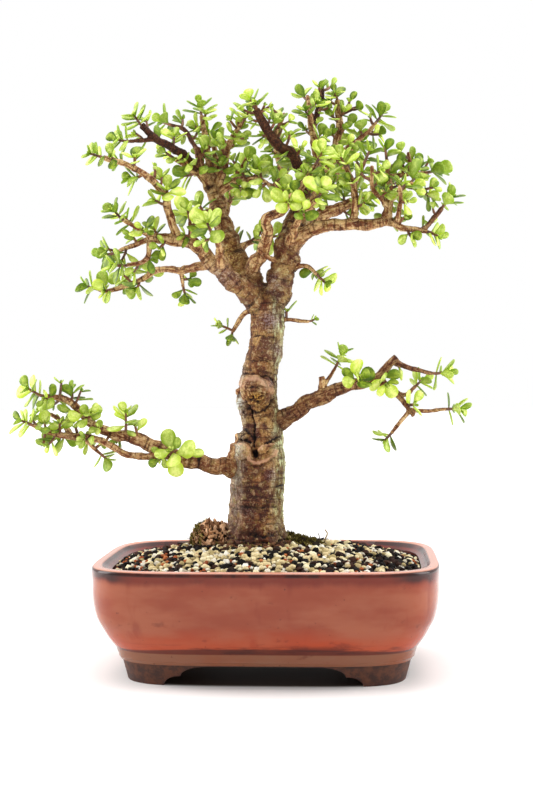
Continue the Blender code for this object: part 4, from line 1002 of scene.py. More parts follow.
def make_leaves(materials, seed, size):
    """The shoots that the solids stand for, then the side shoots of each limb."""
    limbs = grow_limbs()
    crowding = Crowding(limbs)
    rng = random.Random(seed)
    owner = 0
    for name, (heading, length, leaf, pairs, *where) in SHOOTS.items():
        parent, share = (*where, 1.0)[:2] if where else (name, 1.0)
        length, leaf = length * SHOOT_LENGTH, min(leaf * SHOOT_LEAF, LONGEST_LEAF) * size
        bm = new_foliage()
        add_shoot(bm, limbs[parent], share, Vector(heading), length, leaf, pairs + 1, rng, crowding, owner)
        owner += 1
        piece = finish_piece(bm, "leaves_" + name, materials, crease=LEAF_CREASE)
        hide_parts("shoot_" + name)
    for name, limb in limbs.items():
        if name == "trunk" or name in ROOTS:
            continue
        bm = new_foliage()
        made = 0
        for share, heading, length, leaf, pairs in side_shoots(name, limb, rng) + EXTRA_SHOOTS.get(name, []):
            made += add_shoot(
                bm, limb, share, Vector(heading), length, leaf * size, pairs, rng, crowding, owner
            )
            owner += 1
        if made:
            finish_piece(bm, "side_leaves_" + name, materials, crease=LEAF_CREASE)
        else:
            bm.free()

# The pot


def turned_to_plan(profile):
    """Turns (inset, height, squareness) rows about Z, each ring squared to the pot's plan."""
    bm = bmesh.new()
    layer = bm.verts.layers.float.new("squareness")
    rows = [(POT_WIDTH / 2 - inset, height, squareness) for inset, height, squareness in profile]
    rows = [(0.0, *rows[0][1:])] + rows + [(0.0, *rows[-1][1:])]
    points = []
    for radius, height, squareness in rows:
        point = bm.verts.new((radius, 0, height))
        point[layer] = squareness
        points.append(point)
    edges = [bm.edges.new(pair) for pair in zip(points, points[1:])]
    around = {"axis": (0, 0, 1), "cent": (0, 0, 0), "angle": math.tau}
    bmesh.ops.spin(bm, geom=points + edges, steps=PLAN_STEPS, use_merge=True, **around)
    bmesh.ops.remove_doubles(bm, verts=bm.verts, dist=DOUBLE_GAP)
    narrower = (POT_WIDTH - POT_DEPTH) / 2
    for vert in bm.verts:
        across = math.hypot(vert.co.x, vert.co.y)
        if across < narrower:
            continue
        angle = math.atan2(vert.co.y, vert.co.x)
        vert.co.x = across * squared(math.cos(angle), vert[layer])
        vert.co.y = (across - narrower) * squared(math.sin(angle), vert[layer])
    bmesh.ops.recalc_face_normals(bm, faces=bm.faces)
    return bm


def with_squareness(rows, squareness):
    return [(inset, height, squareness) for inset, height in rows]


def smooth_rows(rows, spacing):
    """The same profile as one smooth curve with more rows."""
    points = [Vector((inset, height, 0.0)) for inset, height in rows]
    return [(point.x, point.y) for point in smooth_points(points, spacing)]


def rounded(inset, height, radius, start, steps=5):
    """Points of a quarter turn round a corner's middle, from one angle on, clockwise."""
    turns = [start - math.pi / 2 * step / steps for step in range(steps + 1)]
    return [(inset - math.cos(turn) * radius, height + math.sin(turn) * radius) for turn in turns]


def make_cutter(bm, name):
    return linked_object(name, mesh_of(bm, name))


def make_cut_out(half_width, top, reach, along):
    """A tunnel between the feet, a cloud-foot outline of two hollow curves at each end."""
    right = [(half_width, -CUTTER_REACH)]
    edge, height = half_width, 0.0
    for lobe in CUT_OUT_LOBES:
        edge -= lobe
        turns = [math.pi / 2 * step / 10 for step in range(11)]
        right += [(edge + lobe * math.cos(turn), height + top / 2 * math.sin(turn)) for turn in turns]
        height += top / 2
    outline = right + [(-x, z) for x, z in reversed(right)]
    bm = bmesh.new()
    face = bm.faces.new([bm.verts.new((x, -reach, z)) for x, z in outline])
    grown = bmesh.ops.extrude_face_region(bm, geom=[face])["geom"]
    far_side = [item for item in grown if isinstance(item, bmesh.types.BMVert)]
    bmesh.ops.translate(bm, vec=(0, 2 * reach, 0), verts=far_side)
    if along == "X":
        bmesh.ops.rotate(bm, matrix=Matrix.Rotation(math.pi / 2, 3, "Z"), verts=bm.verts)
    bmesh.ops.remove_doubles(bm, verts=bm.verts, dist=DOUBLE_GAP)
    bmesh.ops.recalc_face_normals(bm, faces=bm.faces)
    return make_cutter(bm, "cut_out")


def make_pot(glaze, clay):
    """The glazed shell with its rolled lip, glazed plinth and bare cut-out feet."""
    top = POT_HEIGHT
    lip = [(LIP_WIDTH, top - 4.0)]
    lip += rounded(LIP_WIDTH - LIP_ROUND, top - LIP_ROUND, -LIP_ROUND, math.pi)
    lip += [(LIP_WIDTH / 2, top + 0.05)]
    lip += rounded(LIP_ROUND, top - LIP_ROUND, LIP_ROUND, math.pi / 2)
    neck = [(0.0, top - 3.2), (0.1, top - 5.5), (0.28, top - 8.5), (0.3, top - 12.0)]
    body = smooth_rows(neck + BODY_PROFILE, 1.2)
    plinth = [(12.6, 19.9), (13.1, 19.2), (13.4, 17.8), (13.9, 16.2), (14.3, GLAZE_END + 0.5)]
    glaze_end = [(14.35, GLAZE_END), (14.8, GLAZE_END - 0.3), (15.4, FOOT_HEIGHT)]
    inside = with_squareness(smooth_rows(list(reversed(INNER_PROFILE)), 3.0), INNER_SQUARENESS)
    inside += with_squareness(lip[:7], INNER_SQUARENESS)
    outside = with_squareness(lip[7:] + body + plinth + glaze_end + FOOT_PROFILE, OUTER_SQUARENESS)
    bm = turned_to_plan(inside + outside)
    for vert in bm.verts:
        angle = math.atan2(vert.co.y, vert.co.x)
        around = Vector((math.cos(angle), math.sin(angle), 0.0))
        if abs(vert.co.z - GLAZE_END) < GLAZE_WAVE and math.hypot(vert.co.x, vert.co.y) > WALL_FROM:
            vert.co.z += noise.noise(around * 7.0) * GLAZE_WAVE + noise.noise(around * 24.0) * 0.45
    pot = make_cutter(bm, "pot_draft")
    foot_inset = FOOT_PROFILE[-1][0]
    half_x = POT_WIDTH / 2 - foot_inset - FOOT_LENGTH
    half_y = POT_DEPTH / 2 - foot_inset - FOOT_LENGTH
    hollow = [(foot_inset + FOOT_THICKNESS, height) for height in (UNDERSIDE, -CUTTER_REACH)]
    cutters = [
        make_cut_out(half_x, CUT_OUT_TOPS["Y"], POT_DEPTH, "Y"),
        make_cut_out(half_y, CUT_OUT_TOPS["X"], POT_WIDTH, "X"),
        make_cutter(turned_to_plan(with_squareness(hollow, INNER_SQUARENESS)), "foot_hollow"),
    ]
    for x in (-DRAIN_X, DRAIN_X):
        bm = bmesh.new()
        radii = {"radius1": DRAIN_DIAMETER / 2, "radius2": DRAIN_DIAMETER / 2}
        place = Matrix.Translation((x, 0, FLOOR_TOP))
        bmesh.ops.create_cone(bm, cap_ends=True, segments=48, depth=FLOOR_TOP, matrix=place, **radii)
        cutters.append(make_cutter(bm, "drain_hole"))
    for cutter in cutters:
        cut = pot.modifiers.new(cutter.name, "BOOLEAN")
        cut.operation = "DIFFERENCE"
        cut.object = cutter
    mesh = evaluated_mesh(pot)
    for used in [pot] + cutters:
        remove_object(used)
    bm = bmesh.new()
    bm.from_mesh(mesh)
    bpy.data.meshes.remove(mesh)
    for face in bm.faces:
        middle = face.calc_center_median()
        rim = math.hypot(middle.x, middle.y) > WALL_FROM
        bare = middle.z < FOOT_HEIGHT + 0.2 or (middle.z < FLOOR_TOP and not rim)
        face.material_index = 1 if bare else 0
    piece = finish_piece(bm, "glazed_pot", [glaze, clay], turned=False)
    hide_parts("pot")

# The mix, the moss, the old root mound and the dry sprout

GRAIN_SIZES = {"pale": (1.2, 2.5), "lava": (1.2, 2.9), "white": (0.9, 2.3), "orange": (0.8, 1.8)}
GRAIN_SPACING = 0.72  # of the two grains' radii together
GRAIN_SINK = 0.45  # of its radius, below the mix
GRAIN_PILE = 0.6  # the highest a lower grain may stand above the mix for another to lie on it
GRAIN_OVERLAP = 0.4  # of the two radii together, closer than which they never lie
GRAIN_SHAPE = ((0.8, 1.2), (0.75, 1.05), (0.6, 0.9))  # its radii across, away and up, of its size
WOOD_HEIGHTS = (64, 80)  # where the trunk and roots are in the grains' way
ROOT_SHARE = 0.8  # of a root's radius that no grain enters
BLADE = {"cap_ends": True, "radius1": 0.34, "radius2": 0.1}
GRAIN_EDGE = 12.4  # from the pot's outside to the outermost grains
BED_DROP = 1.2  # how far the mix between the grains lies below the solid's surface
MOUND_MIDDLE = (-35.0, 5.0, 66.0)
MOUND_REACH = (13.0, 14.0, 21.5)
MOUND_SQUARENESS = 3.0
MOUND_WAVE = 2.3
MOUND_ROUGHNESS = 2.6
MOUND_CHIPS = 650
MOSS = {"moss_right": ((22, -3), (11.5, 9), 4.2), "moss_back": ((10, 25), (9, 5), 4.0)}
MOUND_FIBRES = 60
MOUND_BLADES = 1500
MOUND_CUT = 62  # the height of its underside, inside the mix
MOSS_CLUMPS = 55
CLUMP_BLADES = 15
LITTER_BITS = 420
LITTER_OUT = (19.5, 7.0)  # from the trunk's middle: the nearest, and how much farther the others reach
SEEDS = {"stones": 6, "gravel": 5, "moss": 8, "litter": 17, "mound": 21}
BROKEN = math.radians(32)  # creases of chips and grit
WORN = math.radians(75)  # of pebbles
SOFT = math.radians(60)  # of moss and earth
STONE_ROW = 0.87  # of the spacing, from one row of large stones to the next
BIN_SIZE = 5.2
SPROUT = [(35, -2, 74.0), (34.5, -2, 77), (36, -2, 81), (34.5, -2, 83.5)]
DARK_SPROUT = [(30, -6, 74), (31, -6, 79), (30, -6, 82)]


def grain_templates(count, rough, rng):
    """Small stones of 24 faces each, all a little different."""
    templates = []
    for _ in range(count):
        bm = bmesh.new()
        bmesh.ops.create_cube(bm, size=1.2)
        bmesh.ops.subdivide_edges(bm, edges=bm.edges, cuts=1, use_grid_fill=True)
        shift = random_vector(rng, 0, 90)
        for vert in bm.verts:
            way = vert.co.normalized()
            vert.co = way.lerp(vert.co, 0.25) * (1.0 + rough * noise.noise(way * 1.4 + shift))
        templates.append(mesh_of(bm, "grain"))
    return templates


class GrainBin:
    """Where grains lie, sorted into square cells, so that they rest side by side."""

    def __init__(self):
        self.cells = {}

    def crowd(self, x, y):
        row, column = x // BIN_SIZE, y // BIN_SIZE
        for i in (row - 1, row, row + 1):
            for j in (column - 1, column, column + 1):
                yield from self.cells.get((i, j), ())

    def add(self, x, y, radius, top):
        self.cells.setdefault((x // BIN_SIZE, y // BIN_SIZE), []).append((x, y, radius, top))


def from_edge(x, y, half_x, half_y):
    """How far out a place is in a squared oval: 1 at its edge."""
    return abs(x / half_x) ** INNER_SQUARENESS + abs(y / half_y) ** INNER_SQUARENESS


def large_stones():
    """The solid's own larger stones: place, turn and radii."""
    rng = random.Random(SEEDS["stones"])
    half_x = POT_WIDTH / 2 - LIP_WIDTH - STONE_MARGIN
    half_y = POT_DEPTH / 2 - LIP_WIDTH - STONE_MARGIN
    rows = round(2 * half_y / (STONE_SPACING * STONE_ROW))
    for row in range(rows + 1):
        y = -half_y + 2 * half_y * row / rows
        x = -half_x + STONE_SPACING / 2 * (row % 2)
        while x <= half_x:
            place = (x + rng.uniform(-1, 1) * STONE_JITTER, y + rng.uniform(-1, 1) * STONE_JITTER)
            radius = rng.uniform(*STONE_RADII)
            turn = Matrix.Rotation(rng.uniform(0, math.tau), 4, "Z")
            turn = turn @ Matrix.Rotation(rng.uniform(0, 1), 4, "X")
            radii = (radius * rng.uniform(1.0, 1.25), radius, radius * 0.85)
            clear = all(math.dist(place, middle) > reach for middle, reach in STONE_FREE)
            if clear and from_edge(*place, half_x, half_y) < 1.0:
                yield (*place, soil_height(*place) - radius * STONE_SUNK), turn, radii
            x += STONE_SPACING


def make_mix_bed(material):
    """The mix under the loose grains, its top a little lower, so that the gaps between them stay dark."""
    bm = bmesh.new()
    bm.from_mesh(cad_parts["growing_mix"].data)
    bmesh.ops.transform(bm, matrix=place_of(False).inverted(), verts=bm.verts)
    bmesh.ops.remove_doubles(bm, verts=bm.verts, dist=DOUBLE_GAP)
    for vert in bm.verts:
        vert.co.z = min(vert.co.z, soil_height(vert.co.x, vert.co.y) - BED_DROP)
    piece = finish_piece(bm, "mix_bed", [material], turned=False, outward=False)
    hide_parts("growing_mix")


def random_turn(rng):
    return Euler(random_vector(rng, 0, math.tau)).to_matrix().to_4x4()


def shade_verts(bm, verts, shade):
    tone = bm.verts.layers.float["tone"]
    for vert in verts:
        vert[tone] = shade


def add_grain(bm, templates, place, radii, rng, flat=None):
    """One stone at a place in millimetres, turned at random and with its own tone."""
    mesh = rng.choice(templates).copy()
    turn = random_turn(rng)
    stretch = Matrix.Diagonal((*radii, 1.0))
    if flat is None:
        flat = Matrix.Rotation(rng.uniform(-0.5, 0.5), 4, "X")
        flat = flat @ Matrix.Rotation(rng.uniform(0, math.tau), 4, "Z")
    mesh.transform(Matrix.Translation(place) @ flat @ stretch @ turn)
    first = len(bm.verts)
    bm.from_mesh(mesh)
    bpy.data.meshes.remove(mesh)
    bm.verts.ensure_lookup_table()
    shade_verts(bm, bm.verts[first:], rng.random())


def new_grains():
    bm = bmesh.new()
    bm.verts.layers.float.new("tone")
    return bm


def wood_in_mix(limbs, turn):
    """Where the trunk and its roots pass through the mix: places and radii in the pot's frame."""
    low, high = WOOD_HEIGHTS
    for name in ["trunk"] + ROOTS:
        share = 1.0 if name == "trunk" else ROOT_SHARE
        for point, radius in zip(limbs[name].points, limbs[name].radii):
            if low < point.z < high:
                yield turn @ point, radius * share


def pick_kind(x, y, half_x, rng):
    """Mostly pale pebbles round the trunk, and more lava towards the ends."""
    pale = 0.64 - 0.45 * min(1.0, abs(x + 4) / 62) ** 1.4 + 0.35 * noise.noise(Vector((x, y, 0)) * 0.06)
    pick, left = rng.random(), x < -30
    if pick > 0.94 - 0.08 * left:
        return "orange"
    if pick > 0.84 - 0.12 * max(0.0, x - 10) / half_x - 0.12 * left:
        return "white"
    return "pale" if pick < pale else "lava"


def resting_level(grains, x, y, radius):
    """How high a grain's middle lies there, or None if there is no room for it."""
    ground = soil_height(x, y)
    level = ground - radius * GRAIN_SINK
    for other_x, other_y, other_radius, top in grains.crowd(x, y):
        apart = math.hypot(x - other_x, y - other_y)
        if apart < GRAIN_SPACING * (radius + other_radius):
            if top > ground + GRAIN_PILE or apart < GRAIN_OVERLAP * (radius + other_radius):
                return None
            level = max(level, top + radius * 0.15)
    return level


def make_gravel(limbs, materials, tries):
    """Loose grains over the mix: pale pebbles, black lava, white grit and a few orange bits."""
    rng = random.Random(SEEDS["gravel"])
    turn = Matrix.Rotation(TREE_TURN, 3, "Z")
    wood = list(wood_in_mix(limbs, turn))
    mound = turn @ Vector(MOUND_MIDDLE)
    stones = {kind: new_grains() for kind in GRAIN_SIZES}
    templates = {kind: grain_templates(9, 0.22 if kind == "pale" else 0.5, rng) for kind in GRAIN_SIZES}
    grains = GrainBin()
    half_x, half_y = POT_WIDTH / 2 - GRAIN_EDGE, POT_DEPTH / 2 - GRAIN_EDGE
    for place, turned, radii in large_stones():
        kind = rng.choices(("pale", "lava", "white"), (6 - place[0] / 30, 4, 1.5))[0]
        add_grain(stones[kind], templates[kind], place, [radius * 0.97 for radius in radii], rng, turned)
        grains.add(place[0], place[1], radii[1], place[2] + radii[2] * 0.7)
    for _ in range(tries):
        x, y = rng.uniform(-half_x, half_x), rng.uniform(-half_y, half_y)
        if from_edge(x, y, half_x, half_y) > 1.0:
            continue
        if any(math.hypot(x - foot.x, y - foot.y) < radius for foot, radius in wood):
            continue
        if (abs((x - mound.x) / 10) ** 3 + abs((y - mound.y) / 11) ** 3) < 1:
            continue
        kind = pick_kind(x, y, half_x, rng)
        radius = rng.uniform(*GRAIN_SIZES[kind])
        level = resting_level(grains, x, y, radius)
        if level is None:
            continue
        radii = [radius * rng.uniform(*limits) for limits in GRAIN_SHAPE]
        grains.add(x, y, radius, level + radius * 0.4)
        add_grain(stones[kind], templates[kind], (x, y, level), radii, rng)
    names = {"pale": "pale_pebbles", "lava": "lava_chips", "white": "white_grit", "orange": "orange_bits"}
    for kind, bm in stones.items():
        crease = WORN if kind == "pale" else BROKEN
        finish_piece(bm, names[kind], [materials[kind]], turned=False, crease=crease)


def add_blade(bm, place, lean, length, shade):
    """One blade of moss, a thin cone."""
    place = Matrix.Translation(place) @ lean.to_matrix().to_4x4() @ Matrix.Translation((0, 0, length / 2))
    blade = bmesh.ops.create_cone(bm, segments=4, depth=length, matrix=place, **BLADE)
    shade_verts(bm, blade["verts"], shade)


def random_lean(rng, most):
    return Euler((rng.uniform(-most, most), rng.uniform(-most, most), 0))


def moss_lump(x, y):
    return 0.75 + 0.7 * noise.noise(Vector((x, y, 3.0)) * 0.3)


def make_moss(material):
    """Spiky clumps of moss heaped on low cushions."""
    rng = random.Random(SEEDS["moss"])
    for name, ((x, y), (reach_x, reach_y), height) in MOSS.items():
        bm = new_grains()
        bmesh.ops.create_icosphere(bm, subdivisions=4, radius=1.0)
        for vert in bm.verts:
            place = (x + vert.co.x * reach_x, y + vert.co.y * reach_y)
            lump = moss_lump(*place) + 0.4 * noise.noise(Vector((*place, 1.0)))
            vert.co = (*place, soil_height(*place) - 0.8 + max(vert.co.z, 0.0) ** 0.8 * height * lump)
        for _ in range(MOSS_CLUMPS):
            around, out = rng.uniform(0, math.tau), math.sqrt(rng.random())
            clump = Vector((x + math.cos(around) * out * reach_x, y + math.sin(around) * out * reach_y, 0))
            ground, lump = soil_height(clump.x, clump.y), moss_lump(clump.x, clump.y)
            clump.z = ground + math.sqrt(1 - out * out) * height * lump * 0.8
            shade = rng.random()
            for _ in range(CLUMP_BLADES):
                lean = random_lean(rng, 1.3)
                add_blade(bm, clump, lean, rng.uniform(1.4, 3.6), shade * rng.uniform(0.6, 1.0))
        piece = finish_piece(bm, name + "_tufts", [material], turned=False, crease=SOFT)
        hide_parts(name)


def make_litter(bark_bits, moss):
    """Flakes of bark and bits of moss round the foot of the trunk."""
    rng = random.Random(SEEDS["litter"])
    turn = Matrix.Rotation(TREE_TURN, 3, "Z")
    flakes, tufts = new_grains(), new_grains()
    templates = grain_templates(8, 0.6, rng)
    for _ in range(LITTER_BITS):
        around = rng.uniform(0, math.tau)
        out = LITTER_OUT[0] + rng.random() ** 2 * LITTER_OUT[1]
        place = turn @ Vector((-8 + math.cos(around) * out, math.sin(around) * out, 0))
        place.z = soil_height(place.x, place.y) + rng.uniform(0.2, 1.4)
        if rng.random() < 0.3:
            lean = random_lean(rng, 1.0)
            add_blade(tufts, place, lean, rng.uniform(1.2, 2.6), rng.random())
            continue
        size = rng.uniform(0.6, 1.7)
        radii = [size * rng.uniform(1.0, 1.9), size, size * rng.uniform(0.4, 0.7)]
        add_grain(flakes, templates, place, radii, rng)
    finish_piece(flakes, "bark_flakes", [bark_bits], turned=False, crease=BROKEN)
    finish_piece(tufts, "foot_moss", [moss], turned=False, crease=SOFT)


def on_mound(way, out):
    """The place in this direction from the mound's middle, on its squared dome or this far out of it."""
    length = sum(abs(value) ** MOUND_SQUARENESS for value in way) ** (1 / MOUND_SQUARENESS)
    sides = zip(MOUND_MIDDLE, way, MOUND_REACH)
    return Vector([middle + value / length * (reach + out) for middle, value, reach in sides])


def dome_way(rng, lowest=0.0):
    around, up = rng.uniform(0, math.tau), rng.uniform(lowest, 1.0)
    return Vector((math.cos(around) * (1 - up**2) ** 0.5, math.sin(around) * (1 - up**2) ** 0.5, up))


def make_mound_core(material):
    bm = new_grains()
    bmesh.ops.create_icosphere(bm, subdivisions=6, radius=1.0)
    for vert in bm.verts:
        rough = noise.noise(vert.co * MOUND_WAVE) * MOUND_ROUGHNESS
        rough += noise.noise(vert.co * 7.0) * 1.6 + noise.noise(vert.co * 17.0) * 0.9
        vert.co = on_mound(vert.co, rough - 0.9)
    everything = bm.verts[:] + bm.edges[:] + bm.faces[:]
    bmesh.ops.bisect_plane(
        bm, geom=everything, plane_co=(0, 0, MOUND_CUT), plane_no=(0, 0, -1), clear_outer=True
    )
    bmesh.ops.holes_fill(bm, edges=[edge for edge in bm.edges if edge.is_boundary])
    piece = finish_piece(bm, "mound_core", [material], crease=SOFT)
    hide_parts("root_mound")


def make_mound(material, bark_bits, moss):
    """The old root mound beside the trunk, with chips, fibres and moss on it."""
    rng = random.Random(SEEDS["mound"])
    make_mound_core(material)
    chips, fibres, tufts = new_grains(), bmesh.new(), new_grains()
    templates = grain_templates(8, 0.55, rng)
    for _ in range(MOUND_CHIPS):
        way = dome_way(rng)
        rough = noise.noise(way * MOUND_WAVE) * MOUND_ROUGHNESS
        size = rng.choice((0.5, 0.7, 0.9, 1.2, 1.6)) * rng.uniform(0.8, 1.2)
        radii = [size * rng.uniform(1.0, 2.0), size, size * rng.uniform(0.4, 0.8)]
        flat = random_turn(rng)
        add_grain(chips, templates, on_mound(way, rough * 0.7 - 0.4), radii, rng, flat)
    finish_piece(chips, "mound_chips", [bark_bits], crease=BROKEN)
    for _ in range(MOUND_FIBRES):
        points = [on_mound(dome_way(rng, 0.1), -0.4)]
        step = Vector((rng.uniform(-1, 1), rng.uniform(-1, 1), rng.uniform(-0.6, 1.0)))
        for _ in range(4):
            step += Vector((rng.uniform(-0.8, 0.8), rng.uniform(-0.8, 0.8), rng.uniform(-0.8, 0.5)))
            points.append(points[-1] + step.normalized() * rng.uniform(0.9, 1.7))
        points = smooth_points(points, 0.8)
        add_tube(fibres, points, [0.22] * len(points), 1)
    bmesh.ops.remove_doubles(fibres, verts=fibres.verts, dist=0.01)
    finish_piece(fibres, "mound_fibres", [bark_bits])
    for _ in range(MOUND_BLADES):
        way = dome_way(rng, 0.05)
        if noise.noise(way * 2.6 + Vector((4, 4, 4))) < 0.05 + way.x * 0.55 + way.z * 0.3:
            continue
        turn = (way + Vector((rng.uniform(-0.5, 0.5), rng.uniform(-0.5, 0.5), 0.4))).to_track_quat("Z", "Y")
        add_blade(tufts, on_mound(way, 0.3), turn, rng.uniform(1.4, 3.0), rng.random())
    finish_piece(tufts, "mound_moss", [moss], crease=SOFT)


def make_dry_stem(name, places, radius, taper, material):
    bm = bmesh.new()
    points = smooth_points([Vector(place) for place in places], 1.0)
    add_tube(bm, points, [radius - taper * index / len(points) for index in range(len(points))], 2)
    bmesh.ops.remove_doubles(bm, verts=bm.verts, dist=0.01)
    return finish_piece(bm, name, [material])


def make_sprout(straw, dark_straw):
    """The dry pale stem, and a thinner dark one beside it."""
    piece = make_dry_stem("dry_stem", SPROUT, 0.55, 0.12, straw)
    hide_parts("dry_sprout")
    make_dry_stem("dark_stem", DARK_SPROUT, 0.3, 0.0, dark_straw)


# Materials


def rgb(red, green, blue):
    """A colour as seen on a screen, as the light values that shaders take."""
    seen = (red, green, blue)
    return (*[value / 12.92 if value <= 0.04045 else ((value + 0.055) / 1.055) ** 2.4 for value in seen], 1.0)


def put(socket, value):
    if isinstance(value, Field):
        value.tree.links.new(value.socket, socket)
    else:
        socket.default_value = value


def node(tree, kind, inputs=None, **settings):
    """A shader node with its settings, and its inputs linked or set."""
    made = tree.nodes.new("ShaderNode" + kind)
    for name, value in settings.items():
        setattr(made, name, value)
    for name, value in (inputs or {}).items():
        put(made.inputs[name], value)
    return made


class Field:
    """A node's output, with which sums are done as with a number."""

    def __init__(self, socket):
        self.socket, self.tree = socket, socket.id_data

    def math(self, operation, *values):
        made = node(self.tree, "Math", operation=operation)
        for socket, value in zip(made.inputs, values):
            put(socket, value)
        return Field(made.outputs[0])

    def __add__(self, other):
        return self.math("ADD", self, other)

    __radd__ = __add__

    def __mul__(self, other):
        return self.math("MULTIPLY", self, other)

    def __sub__(self, other):
        return self.math("SUBTRACT", self, other)

    def __rsub__(self, other):
        return self.math("SUBTRACT", other, self)

    def __truediv__(self, other):
        return self.math("DIVIDE", self, other)

    def __pow__(self, other):
        return self.math("POWER", self, other)

    def __abs__(self):
        return self.math("ABSOLUTE", self)

    def lesser(self, other):
        return self.math("MINIMUM", self, other)

    def band(self, low, high):
        """0 up to low, 1 from high on, and smooth between."""
        ends = {"Value": self, "From Min": low, "From Max": high}
        return Field(node(self.tree, "MapRange", ends, interpolation_type="SMOOTHSTEP").outputs["Result"])

    def cloud(self, scale, detail=3.0, roughness=0.55):
        """Smooth noise at this place."""
        inputs = {"Vector": self, "Scale": scale, "Detail": detail, "Roughness": roughness}
        return Field(node(self.tree, "TexNoise", inputs).outputs[0])

    def cells(self, scale, output="Distance", **settings):
        inputs = {"Vector": self, "Scale": scale}
        return Field(node(self.tree, "TexVoronoi", inputs, **settings).outputs[output])

    def stretched(self, scale, shift=0.0):
        """This place, stretched for a pattern that runs one way, or shifted for another one."""
        inputs = {"Vector": self, "Scale": scale, "Location": (shift,) * 3}
        return Field(node(self.tree, "Mapping", inputs).outputs["Vector"])

    def split(self):
        return [Field(part) for part in node(self.tree, "SeparateXYZ", {"Vector": self}).outputs]


def mixed(share, first, second, blend="MIX"):
    tree = next(value.tree for value in (share, first, second) if isinstance(value, Field))
    made = node(tree, "Mix", data_type="RGBA", blend_type=blend, clamp_factor=True)
    for index, value in ((0, share), (6, first), (7, second)):
        put(made.inputs[index], value)
    return Field(made.outputs[2])


def layered(colour, *layers):
    """The colour under these layers, each a share and another colour."""
    for share, other in layers:
        colour = mixed(share, colour, other)
    return colour


def attribute(place, name, output="Fac"):
    return Field(node(place.tree, "Attribute", attribute_name=name).outputs[output])


def object_place(tree):
    """Object coordinates, in metres."""
    return Field(node(tree, "TexCoord").outputs["Object"])


def new_group(name, inputs, outputs):
    """An empty shader node group, with what it is given and what it makes."""
    tree = bpy.data.node_groups.new(name, "ShaderNodeTree")
    for label, kind in inputs.items():
        tree.interface.new_socket(label, in_out="INPUT", socket_type="NodeSocket" + kind)
    for label, kind in outputs.items():
        tree.interface.new_socket(label, in_out="OUTPUT", socket_type="NodeSocket" + kind)
    given = {socket.name: Field(socket) for socket in tree.nodes.new("NodeGroupInput").outputs if socket.name}
    return given, tree.nodes.new("NodeGroupOutput").inputs


def mottling_group(name):
    """Patches at two sizes, as a colour between two and as the mask that mixed them."""
    inputs = {"Place": "Vector", "Scale": "Float", "Low": "Color", "High": "Color"}
    given, made = new_group(name, inputs, {"Color": "Color", "Mask": "Float"})
    place, scale = given["Place"], given["Scale"]
    mask = (place.cloud(scale, 2.0) * 0.65 + place.cloud(scale * 4.3) * 0.35).band(0.38, 0.62)
    put(made["Mask"], mask)
    put(made["Color"], mixed(mask, given["Low"], given["High"]))


def grit_group(name):
    """Fine pits and grains, as a height."""
    given, made = new_group(name, {"Place": "Vector", "Scale": "Float"}, {"Height": "Float"})
    place, scale = given["Place"], given["Scale"]
    put(made["Height"], place.cloud(scale, 4.0, 0.65) + place.cells(scale) * 0.35)


def use_group(build, place, scale, **others):
    """The outputs of a node group, which is built the first time it is asked for."""
    name = build.__name__.removesuffix("_group")
    if name not in bpy.data.node_groups:
        build(name)
    made = place.tree.nodes.new("ShaderNodeGroup")
    made.node_tree = bpy.data.node_groups[name]
    for label, value in {"Place": place, "Scale": scale, **others}.items():
        put(made.inputs[label], value)
    return {socket.name: Field(socket) for socket in made.outputs}


def new_material(name, roughness, specular=0.5):
    """A material's shader inputs, and the place that its patterns follow."""
    material = bpy.data.materials.new(name)
    material.use_nodes = True
    tree = material.node_tree
    tree.nodes.clear()
    shader = tree.nodes.new("ShaderNodeBsdfPrincipled")
    output = tree.nodes.new("ShaderNodeOutputMaterial")
    tree.links.new(shader.outputs["BSDF"], output.inputs["Surface"])
    shader.inputs["Roughness"].default_value = roughness
    shader.inputs["Specular IOR Level"].default_value = specular
    return shader.inputs, object_place(tree)


def finish_material(surface, colour, height, strength, distance):
    """Gives a shader its colour, and a relief this deep in millimetres."""
    put(surface["Base Color"], colour)
    relief = {"Height": height, "Strength": strength, "Distance": distance * MM}
    put(surface["Normal"], Field(node(height.tree, "Bump", relief).outputs["Normal"]))


def deepened(colour, powers, share, gains, far_gains):
    """Darker darks and brighter lights in each of red, green and blue."""
    parts = node(colour.tree, "SeparateColor", {"Color": colour}).outputs
    deep = node(colour.tree, "CombineColor")
    for socket, part, power in zip(deep.inputs, parts, powers):
        put(socket, Field(part) ** power)
    return mixed(1.0, Field(deep.outputs[0]), mixed(share, (*gains, 1.0), (*far_gains, 1.0)), "MULTIPLY")


